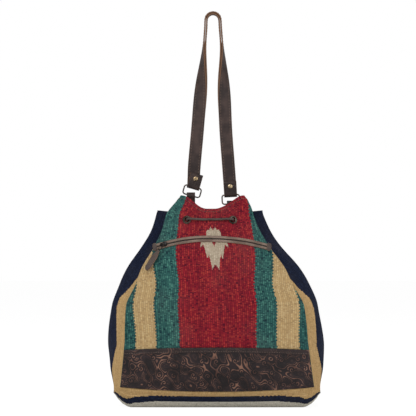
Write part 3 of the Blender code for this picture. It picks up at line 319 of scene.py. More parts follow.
def outline_table(values):
    """A body measure at every step of height, on the smooth curve through the stations."""
    heights, values = np.array(STATIONS), np.array(values, dtype=float)
    steps = np.diff(values) / np.diff(heights)
    turn = steps[:-1] * steps[1:] > 0
    slope = np.zeros(len(values))
    slope[0], slope[-1] = steps[0], steps[-1]
    total = np.where(turn, steps[:-1] + steps[1:], 1.0)
    slope[1:-1] = np.where(turn, 2.0 * steps[:-1] * steps[1:] / total, 0.0)
    fine = np.arange(STATIONS[0], STATIONS[-1] + 0.5 * OUTLINE_STEP, OUTLINE_STEP)
    index = np.clip(np.searchsorted(heights, fine, side="right") - 1, 0, len(heights) - 2)
    span = heights[index + 1] - heights[index]
    t = np.clip((fine - heights[index]) / span, 0.0, 1.0)
    near = (2 * t**3 - 3 * t**2 + 1) * values[index] + (t**3 - 2 * t**2 + t) * span * slope[index]
    far = (3 * t**2 - 2 * t**3) * values[index + 1] + (t**3 - t**2) * span * slope[index + 1]
    return fine, near + far


OUTLINES = {
    name: outline_table(values)
    for name, values in (
        ("seam_x", SEAM_X), ("seam_y", SEAM_Y), ("edge_x", EDGE_X), ("edge_y", EDGE_Y),
        ("belly", BELLY_Y), ("share", EDGE_SHARE), ("side", SIDE_X),
    )
}


def outline(name, z):
    """A body measure at a height."""
    return np.interp(z, *OUTLINES[name])


def lean(z):
    """How far the cloth leans to the left at a height; its rim swings back a little."""
    back = RIM_RETURN * smooth((z - RIM_TURN_Z) / RIM_TURN_HEIGHT)
    return TOP_LEAN * (np.maximum(z, 0.0) / LEAN_HEIGHT) ** 2 + back


def cloth(side, u, z):
    """Points of a panel's outer face, for arrays of u across it and of height z."""
    u, z = np.broadcast_arrays(np.asarray(u, dtype=float), np.asarray(z, dtype=float))
    edge_u = outline("share", z) * HALF_WIDTH
    edge_x, edge_y = outline("edge_x", z), outline("edge_y", z)
    seam_x, seam_y = outline("seam_x", z), outline("seam_y", z)
    reach = np.abs(u)
    strength = smooth((z - GATHER_START_Z) / (GATHER_FULL_Z - GATHER_START_Z))
    across = 1.0 - smooth((reach - GATHER_REACH * EYELET_U) / (GATHER_FADE * EYELET_U))
    gather = GATHER_DEPTH * strength * across * np.cos(2.0 * np.pi * u / EYELET_U)
    share = reach / edge_u
    front_x = edge_x * share
    front_y = outline("belly", z) + (edge_y - outline("belly", z)) * share**2 + gather
    rest = np.maximum(HALF_WIDTH - edge_u, 1e-9)
    t = np.clip((reach - edge_u) / rest, 0.0, 1.0)
    turn_x, turn_y = edge_x + FOLD_BULGE * (edge_y - seam_y), 0.5 * (edge_y + seam_y)
    fold_x = (1 - t) ** 2 * edge_x + 2 * t * (1 - t) * turn_x + t**2 * seam_x
    fold_y = (1 - t) ** 2 * edge_y + 2 * t * (1 - t) * turn_y + t**2 * seam_y
    inside = reach <= edge_u
    x = np.where(inside, front_x, fold_x)
    y = np.where(inside, front_y, fold_y)
    return np.stack((np.sign(u) * x + lean(z), side * y, z), axis=-1)


def low_z(u):
    """The height of a panel's lower seam."""
    return SEAM_LOW_Z + SEAM_END_RISE * (u / HALF_WIDTH) ** 2


def rim_z(side, u):
    """The height of a panel's rim: a dip in the middle, a peak at each side, then down to the seam."""
    dip, peak, dip_half, peak_u = RIM[side]
    reach = np.abs(u)
    rise = dip + (peak - dip) * smooth((reach - dip_half) / (peak_u - dip_half))
    fall = peak + (SEAM_TOP_Z - peak) * smooth((reach - peak_u) / (HALF_WIDTH - peak_u))
    return np.where(reach <= peak_u, rise, fall)


def grid_normals(points):
    """Unit normals of a grid of points, pointing by the right hand from columns to rows."""
    along = np.gradient(points, axis=1)
    up = np.gradient(points, axis=0)
    found = np.cross(along, up)
    return found / np.maximum(np.linalg.norm(found, axis=-1, keepdims=True), 1e-12)


def cloth_frame(side, u, z):
    """One point of a panel, its normal and the direction of growing u."""
    step = FEELER_STEP
    place = Vector(cloth(side, u, z))
    along = Vector(cloth(side, u + step, z) - cloth(side, u - step, z)).normalized()
    up = Vector(cloth(side, u, z + step) - cloth(side, u, z - step)).normalized()
    normal = along.cross(up).normalized()
    return place, normal if side == FRONT else -normal, along


def add_mesh(name, points, faces, material, attributes):
    """A mesh from arrays, with named values on its corners' points or on its faces."""
    mesh = bpy.data.meshes.new(name)
    mesh.from_pydata(np.asarray(points).reshape(-1, 3).tolist(), [], np.asarray(faces).tolist())
    for each in material if isinstance(material, (list, tuple)) else [material]:
        mesh.materials.append(each)
    for label, domain, values in attributes:
        layer = mesh.attributes.new(label, "FLOAT", domain)
        layer.data.foreach_set("value", np.asarray(values, dtype=np.float32).ravel())
    mesh.update()
    mesh.shade_smooth()
    obj = bpy.data.objects.new(name, mesh)
    bpy.context.scene.collection.objects.link(obj)
    return obj


def double_sheet(name, outer, inner, material, values, face_values, flip):
    """A closed sheet from an outer and an inner grid. values are per point, face_values per cell."""
    rows, columns = outer.shape[:2]
    number = np.arange(rows * columns).reshape(rows, columns)
    cells = np.stack((number[:-1, :-1], number[:-1, 1:], number[1:, 1:], number[1:, :-1]), axis=-1)
    cells = cells.reshape(-1, 4)
    shift = rows * columns
    edge = np.concatenate((number[0, :], number[1:, -1], number[-1, -2::-1], number[-2:0:-1, 0]))
    after = np.roll(edge, -1)
    sides = np.stack((edge, edge + shift, after + shift, after), axis=-1)
    faces = np.concatenate((cells, cells[:, ::-1] + shift, sides))
    if flip:
        faces = faces[:, ::-1]
    attributes = [(label, "POINT", np.concatenate((np.ravel(v), np.ravel(v)))) for label, v in values]
    for label, v in face_values:
        flat = np.ravel(v)
        rim = np.full(len(sides), flat[0])
        rim[: columns - 1] = v[0, :]
        rim[columns - 1 : columns + rows - 2] = v[:, -1]
        rim[columns + rows - 2 : 2 * columns + rows - 3] = v[-1, ::-1]
        rim[2 * columns + rows - 3 :] = v[::-1, 0]
        attributes.append((label, "FACE", np.concatenate((flat, flat, rim))))
    points = np.concatenate((outer.reshape(-1, 3), inner.reshape(-1, 3)))
    return add_mesh(name, points, faces, material, attributes)


def inside_polygon(x, y, corners):
    """Which of many points lie inside a polygon."""
    found = np.zeros(np.shape(x), dtype=bool)
    for (x1, y1), (x2, y2) in zip(corners, corners[1:] + corners[:1]):
        crosses = (y1 > y) != (y2 > y)
        edge = (x2 - x1) * (y - y1) / np.where(y2 == y1, 1e-12, y2 - y1) + x1
        found ^= crosses & (x < edge)
    return found


def motif_mask(u, z):
    """The small stepped figure that kilims carry: half of it, mirrored, with a red notch under its crown."""
    x = np.abs(u - MOTIF_U) * 1000.0
    y = z * 1000.0
    found = inside_polygon(x, y, MOTIF_HALF)
    slope = NOTCH_HALF * (y - NOTCH_LOW) / (NOTCH_HIGH - NOTCH_LOW)
    notch = (y > NOTCH_LOW) & (y < NOTCH_HIGH) & (x < slope)
    return found & ~notch


def saw(z, offset):
    """The toothed edge where two yarn colours interlock, one tooth every two steps."""
    return np.where(np.floor(z / STEP_HEIGHT + offset) % 2 == 0, SAWTOOTH, 0.0)


def wrinkle(u, z, seed):
    """Soft slack in the cloth, nothing near the zip, the band and the seams."""
    calm = smooth((z - 0.100) / 0.035) * (1.0 - smooth((z - 0.195) / 0.035))
    calm = calm * (1.0 - smooth((np.abs(u) - 0.1) / 0.03))
    steep = 0.55 * np.sin(u * 75.0 + 1.7 * np.sin(z * 38.0 + seed))
    slanting = 0.45 * np.sin(u * 31.0 - z * 52.0 + 2.0 * seed)
    return SLACK * calm * (steep + slanting)


def rib_waves(u):
    """The height of the upright ribs across the cloth."""
    return RIB_HEIGHT * (np.abs(np.cos(np.pi * u / RIB)) - RIB_LEVEL)


def stripes(u, z, level, side):
    """The yarn number at each place of a panel: red in the middle, then green, cream and green again."""
    tooth = saw(level, 0)
    if side == FRONT:
        red_left, red_right = RED_LEFT, np.interp(z, RED_RIGHT_HEIGHTS, RED_RIGHT)
        cream_left, cream_right = (CREAM_LEFT, CREAM_RIGHT)
    else:
        red_left, red_right = RED_HALF, RED_HALF
        cream_left, cream_right = (GREEN_END, CREAM_END), (GREEN_END, CREAM_END)
    yarn = np.full(u.shape, 1.0)
    yarn[(u > -red_left - tooth) & (u < red_right + tooth)] = 0.0
    back_tooth = saw(level, 1)
    yarn[(-u > cream_left[0] + back_tooth) & (-u < cream_left[1] + tooth)] = 2.0
    yarn[(u > cream_right[0] + back_tooth) & (u < cream_right[1] + tooth)] = 2.0
    return yarn


def make_panel(name, side, node, column_step, weave, with_motif, thread):
    """A woven panel with its ribs, stripes and gathers as real mesh."""
    columns = int(round(2 * HALF_WIDTH / column_step)) + 1
    rows = int(round(PANEL_HEIGHT / STEP_HEIGHT)) + 1
    u = np.linspace(-HALF_WIDTH, HALF_WIDTH, columns)[None, :].repeat(rows, axis=0)
    share = np.linspace(0.0, 1.0, rows)[:, None]
    z = low_z(u) + share * (rim_z(side, u) - low_z(u))
    outer = cloth(side, u, z)
    normal = grid_normals(outer) * (1 if side == FRONT else -1)
    thick = outer - normal * CLOTH
    edge = smooth((HALF_WIDTH - np.abs(u)) / 0.002)
    relief = rib_waves(u) * edge + wrinkle(u, z, 0.4 if side == FRONT else 2.2)
    outer = outer + normal * relief[..., None]
    mid_u = 0.5 * (u[:-1, :-1] + u[:-1, 1:])
    mid_z = 0.25 * (z[:-1, :-1] + z[1:, :-1] + z[:-1, 1:] + z[1:, 1:])
    level = np.arange(rows - 1)[:, None] * STEP_HEIGHT
    yarn = stripes(mid_u, mid_z, level, side)
    if with_motif:
        yarn[motif_mask(mid_u, mid_z)] = 3.0
    values = (("across", u), ("along", z))
    piece = double_sheet(name, outer, thick, weave, values, (("yarn", yarn),), side == BACK)
    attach(piece, "bag")
    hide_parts(node)
    places = []
    for i in range(RIM_STITCHES):
        at = RIM_STITCH_REACH * (2.0 * i / (RIM_STITCHES - 1) - 1.0)
        stitch_z = float(rim_z(side, at)) - RIM_HEM
        point, out, _ = cloth_frame(side, at, stitch_z)
        ahead = cloth_frame(side, at + 0.001, float(rim_z(side, at + 0.001)) - RIM_HEM)[0]
        places.append((point + out * 0.0002, (ahead - point).normalized(), out))
    stitch_line(f"{name}_rim_stitching", places, thread, "bag", 0.0024, 0.00035)
    return piece


def strip_parts(path):
    """For each station of the strip: its two seam points and the way and distance that it bulges."""
    front, back, away, far, height, is_side, share = [], [], [], [], [], [], []
    for u, s in path:
        zf = float(low_z(u) + s * (rim_z(FRONT, u) - low_z(u)))
        zb = float(low_z(u) + s * (rim_z(BACK, u) - low_z(u)))
        front.append(cloth(FRONT, u, zf))
        back.append(cloth(BACK, u, zb))
        low = float(low_z(u))
        at_side = s > 0.0 or abs(u) >= HALF_WIDTH
        if at_side:
            turn = CORNER_TURN * (1.0 - float(smooth((zf - low) / CORNER_TURN_HEIGHT)))
            reach = float(outline("side", zf) - outline("seam_x", zf))
            distance = CORNER_REACH + (reach - CORNER_REACH) * float(smooth((zf - low) / CORNER_REACH_HEIGHT))
        else:
            flat = float(smooth((HALF_WIDTH - abs(u)) / FOOT_ROUNDING))
            turn = CORNER_TURN + (0.5 * math.pi - CORNER_TURN) * flat
            distance = CORNER_REACH + (low - CORNER_REACH) * flat
        away.append((math.copysign(math.cos(turn), u), 0.0, -math.sin(turn)))
        far.append(distance)
        height.append(zf)
        is_side.append(at_side)
        share.append(s)
    return [np.array(x) for x in (front, back, away, far, height, is_side, share)]


def strip_grid(stations, v):
    """The outer face of the side-and-base strip."""
    front, back, away, far, height, is_side, share = strip_parts(stations)
    w = np.abs(2.0 * v - 1.0)[None, :]
    base = 1.0 - np.maximum(0.0, (w - BASE_FLAT_SHARE) / (1.0 - BASE_FLAT_SHARE)) ** BASE_EDGE_POWER
    round_side, ear = 1.0 - w**SIDE_POWER, 1.0 - w**EAR_POWER
    high = smooth((height - EAR_LOW_Z) / EAR_FADE)[:, None]
    low = smooth((height - BASE_TOP_Z) / BASE_FADE)[:, None] * is_side[:, None]
    full = base + (round_side + (ear - round_side) * high - base) * low
    points = front[:, None] * (1 - v)[None, :, None] + back[:, None] * v[None, :, None]
    points = points + away[:, None] * (far[:, None] * full)[..., None]
    points[..., 2] += EAR_LIFT * full * smooth((share - 0.8) / 0.2)[:, None] * is_side[:, None]
    return points


def stripe_place(u, share):
    """Where a station lies in the table of stripes: along the base, or minus its height up the side."""
    if share == 0.0:
        return HALF_WIDTH - abs(u)
    return -float(low_z(u) + share * (rim_z(FRONT, u) - low_z(u)))


def make_gusset(weave):
    """The strip that makes both sides and the base in one piece, its stripes running its whole length."""
    left = [(-HALF_WIDTH, 1.0 - i / SIDE_ROWS) for i in range(SIDE_ROWS + 1)]
    base = [(-HALF_WIDTH + 2 * HALF_WIDTH * i / BASE_COLUMNS, 0.0) for i in range(1, BASE_COLUMNS)]
    right = [(HALF_WIDTH, i / SIDE_ROWS) for i in range(SIDE_ROWS + 1)]
    stations = left + base + right
    v = np.linspace(0.0, 1.0, STRIP_COLUMNS)
    outer = strip_grid(stations, v)
    normal = -grid_normals(outer)
    middle_line, base_line = outer[:, len(v) // 2], outer[BASE_ROW]
    length = np.concatenate(([0.0], np.cumsum(np.linalg.norm(np.diff(middle_line, axis=0), axis=-1))))
    reach = np.concatenate(([0.0], np.cumsum(np.linalg.norm(np.diff(base_line, axis=0), axis=-1))))
    u = reach[None, :].repeat(len(stations), axis=0)
    z = length[:, None].repeat(len(v), axis=1)
    centre = outer.mean(axis=(0, 1))
    if np.sum(normal * (outer - centre)) < 0:
        normal = -normal
    thick = outer - normal * CLOTH
    edge = smooth(np.minimum(v, 1.0 - v) / 0.012)[None, :]
    on_floor = smooth((outer[..., 2] - 0.002) / 0.004)
    calm = smooth((outer[..., 2] - 0.05) / 0.05) * (1.0 - smooth((outer[..., 2] - 0.24) / 0.04))
    slack = SLACK * np.sin(z * 41.0 + 2.0 * np.sin(u * 47.0)) * calm * edge
    outer = outer + normal * (rib_waves(u) * edge * on_floor + slack)[..., None]
    near = np.minimum(v, 1.0 - v)
    near = 0.5 * (near[:-1] + near[1:])[None, :]
    tooth = np.where(np.arange(len(stations) - 1)[:, None] % 2 == 0, STRIP_TOOTH, 0.0)
    place = np.array([stripe_place(across, share) for across, share in stations])
    place = 0.5 * (place[:-1] + place[1:])
    beige = np.interp(place, STRIPE_PLACES, BEIGE_SHARES)[:, None]
    navy = np.interp(place, STRIPE_PLACES, NAVY_SHARES)[:, None]
    yarn = np.full((len(stations) - 1, len(v) - 1), 6.0)
    yarn[near + tooth < navy] = 5.0
    yarn[near + tooth < beige] = 4.0
    values = (("across", u), ("along", z))
    piece = double_sheet("side_and_base_strip", outer, thick, weave, values, (("yarn", yarn),), False)
    bm = bmesh.new()
    bm.from_mesh(piece.data)
    if bm.calc_volume(signed=True) < 0:
        piece.data.flip_normals()
    bm.free()
    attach(piece, "bag")
    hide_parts("side_base_gusset")
    return piece


def tooling(u, v):
    """The tooled scrollwork as heights from 0 to 1: leaf ribs that flow round one another, and curls."""
    rng = np.random.default_rng(TOOLING_SEED)
    x, y = u * 1000.0, v * 1000.0
    flow = np.zeros(x.shape)
    for _ in range(FLOW_WAVES):
        length, heading, start = rng.uniform(*FLOW_LENGTHS), rng.uniform(0.0, math.pi), rng.uniform(0.0, 6.28)
        flow += np.sin(2.0 * math.pi * (x * math.cos(heading) + y * math.sin(heading)) / length + start)
    curl = np.zeros(x.shape)
    near = np.zeros(x.shape)
    for row, level in enumerate(CURL_LEVELS):
        for step in range(-8, 9):
            mx = (step + 0.5 * (row % 2)) * CURL_SPACING + rng.uniform(-5.0, 5.0)
            my, hand, start = level + rng.uniform(-4.0, 4.0), rng.choice((-1.0, 1.0)), rng.uniform(0.0, 6.28)
            distance, angle = np.hypot(x - mx, y - my), np.arctan2(y - my, x - mx)
            weight = np.exp(-((distance / CURL_RADIUS) ** 4))
            curl += weight * np.cos(2.0 * np.pi * distance / CURL_TURN + hand * angle + start)
            near += weight
    near = np.clip(near, 0.0, 1.0)
    ribs = np.cos(flow * RIBS_PER_FLOW)
    height = smooth((ribs * (1.0 - near) + curl * near - 0.10) / 0.60)
    leaf = smooth((np.sin(flow * 0.75 + 0.8) + 0.75) / 0.5)
    return np.clip(height * (0.45 + 0.55 * np.maximum(leaf, near)), 0.0, 1.0)


def band_top(u):
    """The height of a leather band's upper edge, a little higher in the middle."""
    return BAND_TOP_Z + BAND_CREST - BAND_CREST_FALL * (u / BAND_HALF) ** 2


def make_leather_band(name, side, node, cell, leather, thread):
    """The tooled band, laid on the panel's foot, with raised scrolls and a hem turned over at its top."""
    columns = int(2 * BAND_HALF / cell) + 1
    rows = int(BAND_HEIGHT / cell) + 1
    u = np.linspace(-BAND_HALF, BAND_HALF, columns)[None, :].repeat(rows, axis=0)
    share = np.linspace(0.0, 1.0, rows)[:, None]
    bottom = low_z(u) + 0.0002
    top = band_top(u)
    z = bottom + share * (top - bottom)
    base = cloth(side, u, z)
    normal = grid_normals(base) * (1 if side == FRONT else -1)
    ridge = tooling(u, z - bottom)
    hem = smooth((z - (top - BAND_HEM) + 0.0004) / 0.0008)
    ridge = ridge * (1.0 - 0.25 * hem)
    edge = np.minimum(np.minimum(share, 1.0 - share) * BAND_HEIGHT, BAND_HALF - np.abs(u))
    rounding = BAND_EDGE_ROUNDING * (1.0 - smooth(edge / 0.0013))
    lumps = 0.00025 * np.sin(u * 90.0 + 3.0 * np.sin(z * 120.0)) + 0.0002 * np.sin(u * 213.0 - z * 160.0)
    height = BAND_LIFT + RIDGE_HEIGHT * ridge + HEM_HEIGHT * hem + lumps - rounding
    outer = base + normal * height[..., None]
    inner = base + normal * BAND_BACK_LIFT
    values = (("across", u), ("along", z), ("ridge", ridge), ("hem", hem))
    piece = double_sheet(name, outer, inner, leather, values, (), side == BACK)
    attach(piece, "bag")
    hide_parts(node)
    places = []
    count = int(2 * BAND_HALF / HEM_STITCH_PITCH)
    for i in range(count):
        at = -BAND_HALF + 0.002 + (2 * BAND_HALF - 0.004) * i / (count - 1)
        point, out, along = cloth_frame(side, at, band_top(at) - BAND_HEM + 0.0022)
        places.append((point + out * 0.0031, along, out))
    stitch_line(f"{name}_stitching", places, thread, "bag", 0.0026, 0.00035)
    return piece


def built_object(name, bm, material):
    """A smooth object made from a finished mesh."""
    mesh = bpy.data.meshes.new(name)
    bm.to_mesh(mesh)
    bm.free()
    mesh.materials.append(material)
    mesh.shade_smooth()
    obj = bpy.data.objects.new(name, mesh)
    bpy.context.scene.collection.objects.link(obj)
    return obj


def tube(name, points, radius, material, cyclic=False):
    """A round tube along points."""
    curve = bpy.data.curves.new(name, "CURVE")
    curve.dimensions = "3D"
    curve.bevel_depth = radius
    curve.bevel_resolution = TUBE_ROUNDNESS
    curve.use_fill_caps = not cyclic
    spline = curve.splines.new("POLY")
    spline.points.add(len(points) - 1)
    for target, point in zip(spline.points, points):
        target.co = (*point, 1.0)
    spline.use_cyclic_u = cyclic
    spline.use_smooth = True
    curve.materials.append(material)
    obj = bpy.data.objects.new(name, curve)
    bpy.context.scene.collection.objects.link(obj)
    return obj


def smooth_route(points, spacing):
    """Evenly spaced points on a smooth curve through the route's own points."""
    points = [Vector(p) for p in points]
    padded = [points[0] * 2 - points[1], *points, points[-1] * 2 - points[-2]]
    fine = []
    for index in range(len(points) - 1):
        a, b, c, d = padded[index : index + 4]
        for i in range(24):
            t = i / 24
            curve = b * 2 + (c - a) * t + (a * 2 - b * 5 + c * 4 - d) * t**2 + (b * 3 - a - c * 3 + d) * t**3
            fine.append(curve * 0.5)
    fine.append(points[-1].copy())
    array = np.array([tuple(p) for p in fine])
    travelled = np.concatenate(([0.0], np.cumsum(np.linalg.norm(np.diff(array, axis=0), axis=-1))))
    count = max(3, int(travelled[-1] / spacing) + 1)
    goals = np.linspace(0.0, travelled[-1], count)
    return [Vector(tuple(np.interp(goal, travelled, array[:, k]) for k in range(3))) for goal in goals]


def ring_axes(hand):
    """The directions along and up a ring, as it is tilted."""
    tilt = math.radians(RING_PLACES[hand][2])
    return Vector((math.cos(tilt), 0.0, math.sin(tilt))), Vector((-math.sin(tilt), 0.0, math.cos(tilt)))


def ring_bar(hand, top):
    """The middle of a ring's upper or lower bar."""
    x, z, _ = RING_PLACES[hand]
    _, up = ring_axes(hand)
    return Vector((x, RING_Y, z)) + up * (RING_BAR_OFFSET if top else -RING_BAR_OFFSET)


def strap_route():
    """The strap's middle line: up the left leg, round the arch and down the right leg."""
    left, right = ring_bar("left", True), ring_bar("right", True)
    arch_z = STRAP_TOP_Z - ARCH_RADIUS
    up = [(left.x, left.z)] + LEFT_LEG
    down = RIGHT_LEG + [(right.x, right.z)]
    turns = [math.radians(angle) for angle in range(0, 181, 30)]
    arch = [(ARCH_X - ARCH_RADIUS * math.cos(turn), arch_z + ARCH_RADIUS * math.sin(turn)) for turn in turns]
    return [Vector((x, RING_Y, z)) for x, z in up + arch + down]


def strap_frames():
    """The strap at even steps: its point, the direction across it and its outward normal."""
    points = smooth_route(strap_route(), STRAP_STEP)
    frames = []
    for i, point in enumerate(points):
        run = (points[min(i + 1, len(points) - 1)] - points[max(i - 1, 0)]).normalized()
        outward = Vector((-run.z, 0.0, run.x))
        turn = 0.5 * math.pi * float(smooth((TWIST_TOP_Z - point.z) / TWIST_HEIGHT))
        normal = (outward * math.cos(turn) + Vector((0.0, -1.0, 0.0)) * math.sin(turn)).normalized()
        across = run.cross(normal).normalized()
        hand = "left" if i < len(points) / 2 else "right"
        near_ring = 1.0 - float(smooth((point.z - ring_bar(hand, True).z - LEVEL_ABOVE_BAR) / LEVEL_FADE))
        level, _ = ring_axes(hand)
        if across.dot(level) < 0:
            level = -level
        frames.append((point, across.lerp(level, near_ring).normalized(), normal))
    return frames


def leather_band(name, frames, half, thickness, material, end_round=0.0, widths=None):
    """A flat leather band with eased edges along a run of frames: point, across and normal."""
    rows, values_across, values_along, values_edge = [], [], [], []
    travelled = 0.0
    total = sum((b[0] - a[0]).length for a, b in zip(frames, frames[1:]))
    for index, (point, across, normal) in enumerate(frames):
        if index:
            travelled += (point - frames[index - 1][0]).length
        left = min(travelled, total - travelled)
        wide = widths[index] if widths else half
        if left < end_round:
            wide = half * math.sqrt(max(0.06, 1.0 - (1.0 - left / end_round) ** 2))
        rows.append([point + across * (a * wide) + normal * (b * thickness) for a, b in BAND_SECTION])
        values_across += [a * wide for a, _ in BAND_SECTION]
        values_along += [travelled] * len(BAND_SECTION)
        values_edge += [1.0 if abs(a) > 0.96 else 0.0 for a, _ in BAND_SECTION]
    count = len(BAND_SECTION)
    faces = []
    for i in range(len(rows) - 1):
        for j in range(count):
            k = (j + 1) % count
            faces.append((i * count + j, i * count + k, (i + 1) * count + k, (i + 1) * count + j))
    bm = bmesh.new()
    made = [bm.verts.new(p) for row in rows for p in row]
    for face in faces:
        bm.faces.new([made[i] for i in face])
    bm.faces.new(made[:count])
    bm.faces.new(made[-count:])
    bmesh.ops.recalc_face_normals(bm, faces=bm.faces)
    obj = built_object(name, bm, material)
    for label, data in (("across", values_across), ("along", values_along), ("cut_edge", values_edge)):
        layer = obj.data.attributes.new(label, "FLOAT", "POINT")
        layer.data.foreach_set("value", np.array(data, dtype=np.float32))
    return obj


def stitch_line(name, places, material, body, length, radius):
    """Short thread stitches at places of (point, direction, normal), as one piece."""
    bm = bmesh.new()
    for point, along, normal in places:
        made = bmesh.ops.create_uvsphere(bm, u_segments=6, v_segments=5, radius=radius)
        side = along.cross(normal).normalized()
        for vert in made["verts"]:
            x, y, z = vert.co
            vert.co = point + along * (z * 0.5 * length / radius) + side * x + normal * (0.75 * y)
    obj = built_object(name, bm, material)
    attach(obj, body)
    return obj


def make_strap(leather, thread):
    """Two stitched layers, the rear one turned up round each ring."""
    frames = strap_frames()
    rear = [(p - n * LAYER_PITCH, a, n) for p, a, n in frames]
    kept_rear, kept_face = [], []
    for i, frame_here in enumerate(frames):
        hand = "left" if i < len(frames) / 2 else "right"
        if frame_here[0].z > ring_bar(hand, True).z + FACE_ABOVE_BAR:
            kept_face.append(frame_here)
            kept_rear.append(rear[i])
    ends = {}
    for hand, end in (("left", kept_face[0]), ("right", kept_face[-1])):
        bar = ring_bar(hand, True)
        _, up = ring_axes(hand)
        run = []
        for i in range(15):
            angle = math.radians(180.0 * i / 14)
            out = Vector((0.0, math.cos(angle), 0.0)) - up * math.sin(angle)
            run.append((bar + out * LAYER_PITCH, end[1], -out))
        for i in range(1, 9):
            place = bar + Vector((0.0, -LAYER_PITCH, 0.0)) + up * FOLD_BACK * i / 8
            run.append((place, end[1], Vector((0.0, 1.0, 0.0))))
        ends[hand] = run
    whole = list(reversed(ends["left"])) + kept_rear + ends["right"]
    face = leather_band("strap_front_layer", kept_face, STRAP_HALF, LAYER, leather)
    back = leather_band("strap_rear_layer", whole, STRAP_HALF, LAYER, leather)
    for piece, node in ((face, "strap_face"), (back, "strap_backing")):
        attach(piece, "strap")
        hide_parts(node)
    places = []
    for i in range(6, len(kept_face) - 6, 2):
        point, across, normal = kept_face[i]
        along = (kept_face[i + 1][0] - kept_face[i - 1][0]).normalized()
        for side in (-1.0, 1.0):
            aside = across * side * STRAP_STITCH_OFFSET
            places.append((point + aside + normal * 0.5 * LAYER, along, normal))
            places.append((kept_rear[i][0] + aside - normal * 0.5 * LAYER, along, normal))
    stitch_line("strap_stitching", places, thread, "strap", 0.0028, 0.00042)


def make_ring_tabs(leather):
    """The tabs that hold the rings: up inside the back cloth, round the ring's lower bar and down again."""
    for hand in ("left", "right"):
        bar = ring_bar(hand, False)
        u = (bar.x - float(TOP_LEAN * (TAB_FOOT_Z / LEAN_HEIGHT) ** 2)) * 1.15
        rise = []
        for i in range(7):
            z = TAB_FOOT_Z + (RIM[BACK][0] - TAB_FOOT_Z) * i / 6
            inside = min(float(cloth(BACK, u + step * 0.006, z)[1]) for step in range(-2, 3))
            rise.append((z, inside - CLOTH - 0.0010))
        across = Vector((1.0, 0.0, 0.0))
        frames = [(Vector((bar.x, y, z)), across, Vector((0.0, 1.0, 0.0))) for z, y in rise]
        for i in range(33):
            angle = math.radians(-30.0 + 240.0 * i / 32)
            outward = Vector((0.0, math.cos(angle), math.sin(angle)))
            frames.append((bar + outward * TAB_LOOP_RADIUS, across, outward))
        forward = Vector((0.0, -1.0, 0.0))
        frames += [(Vector((bar.x, y - TAB_LAYER_PITCH, z)), across, forward) for z, y in reversed(rise)]
        tab = leather_band(f"{hand}_ring_holder", frames, TAB_HALF, TAB_THICKNESS, leather)
        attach(tab, "bag")
        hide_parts(f"{hand}_ring_tab")


def zip_z(u):
    """The height of the zip's middle line: a shallow arch that sags where the cloth under it is slack."""
    sag = ZIP_SAG * math.exp(-(((u - ZIP_SAG_U) / ZIP_SAG_HALF) ** 2))
    return ZIP_MIDDLE_Z - ZIP_DROOP * (u / ZIP_HALF_U) ** 2 - sag


def zip_frame(u):
    """A point on the zip, the cloth's normal there, and the directions along and across the zip."""
    point, normal, _ = cloth_frame(FRONT, u, zip_z(u))
    step = OUTLINE_STEP
    after, before = cloth(FRONT, u + step, zip_z(u + step)), cloth(FRONT, u - step, zip_z(u - step))
    run = Vector(after - before).normalized()
    return point, normal, run, normal.cross(run).normalized()


def make_zip(leather, tab_leather, teeth_material, thread):
    """Leather edging on both sides of a closed coil zip, each side stitched down."""
    steps = [-ZIP_HALF_U + 2 * ZIP_HALF_U * i / EDGING_STEPS for i in range(EDGING_STEPS + 1)]
    edgings = (("upper_edging", "upper_zip_binding", 1.0), ("lower_edging", "lower_zip_binding", -1.0))
    for name, node, sign in edgings:
        frames = []
        for u in steps:
            point, normal, _, up = zip_frame(u)
            frames.append((point + up * sign * EDGING_OFFSET + normal * 0.0012, up * sign, normal))
        piece = leather_band(name, frames, EDGING_HALF, EDGING_THICKNESS, leather)
        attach(piece, "bag")
        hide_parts(node)
    for hand, sign in (("left", -1.0), ("right", 1.0)):
        frames = []
        for i in range(7):
            point, normal, _, up = zip_frame(sign * (ZIP_HALF_U - 0.0032 + END_TAB_LENGTH * i / 6))
            frames.append((point + normal * 0.0024, up, normal))
        tab = leather_band(f"zip_{hand}_end_tab", frames, END_TAB_HALF, 0.0014, tab_leather, 0.0012)
        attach(tab, "bag")
        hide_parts(f"{hand}_zip_tab")
    places = []
    for u in steps[2 : EDGING_STEPS - 1 : 2]:
        point, normal, run, up = zip_frame(u)
        for sign in (-1.0, 1.0):
            places.append((point + up * sign * (EDGING_OFFSET + 0.0010) + normal * 0.00195, run, normal))
    stitch_line("zip_stitching", places, thread, "bag", 0.0018, 0.00025)
    bm = bmesh.new()
    for i in range(COILS):
        u = -ZIP_HALF_U + 2 * ZIP_HALF_U * (i + 0.5) / COILS
        point, normal, run, up = zip_frame(u)
        side = 1.0 if i % 2 else -1.0
        made = bmesh.ops.create_uvsphere(bm, u_segments=6, v_segments=5, radius=1.0)
        for vert in made["verts"]:
            x, y, z = vert.co
            lift, aside = COIL_LIFT + COIL_RADII[1] * y, side * COIL_ASIDE + z * COIL_RADII[2]
            vert.co = point + normal * lift + up * aside + run * (COIL_RADII[0] * x)
    coil = built_object("zip_coil", bm, teeth_material)
    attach(coil, "bag")
    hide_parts("zip_teeth")


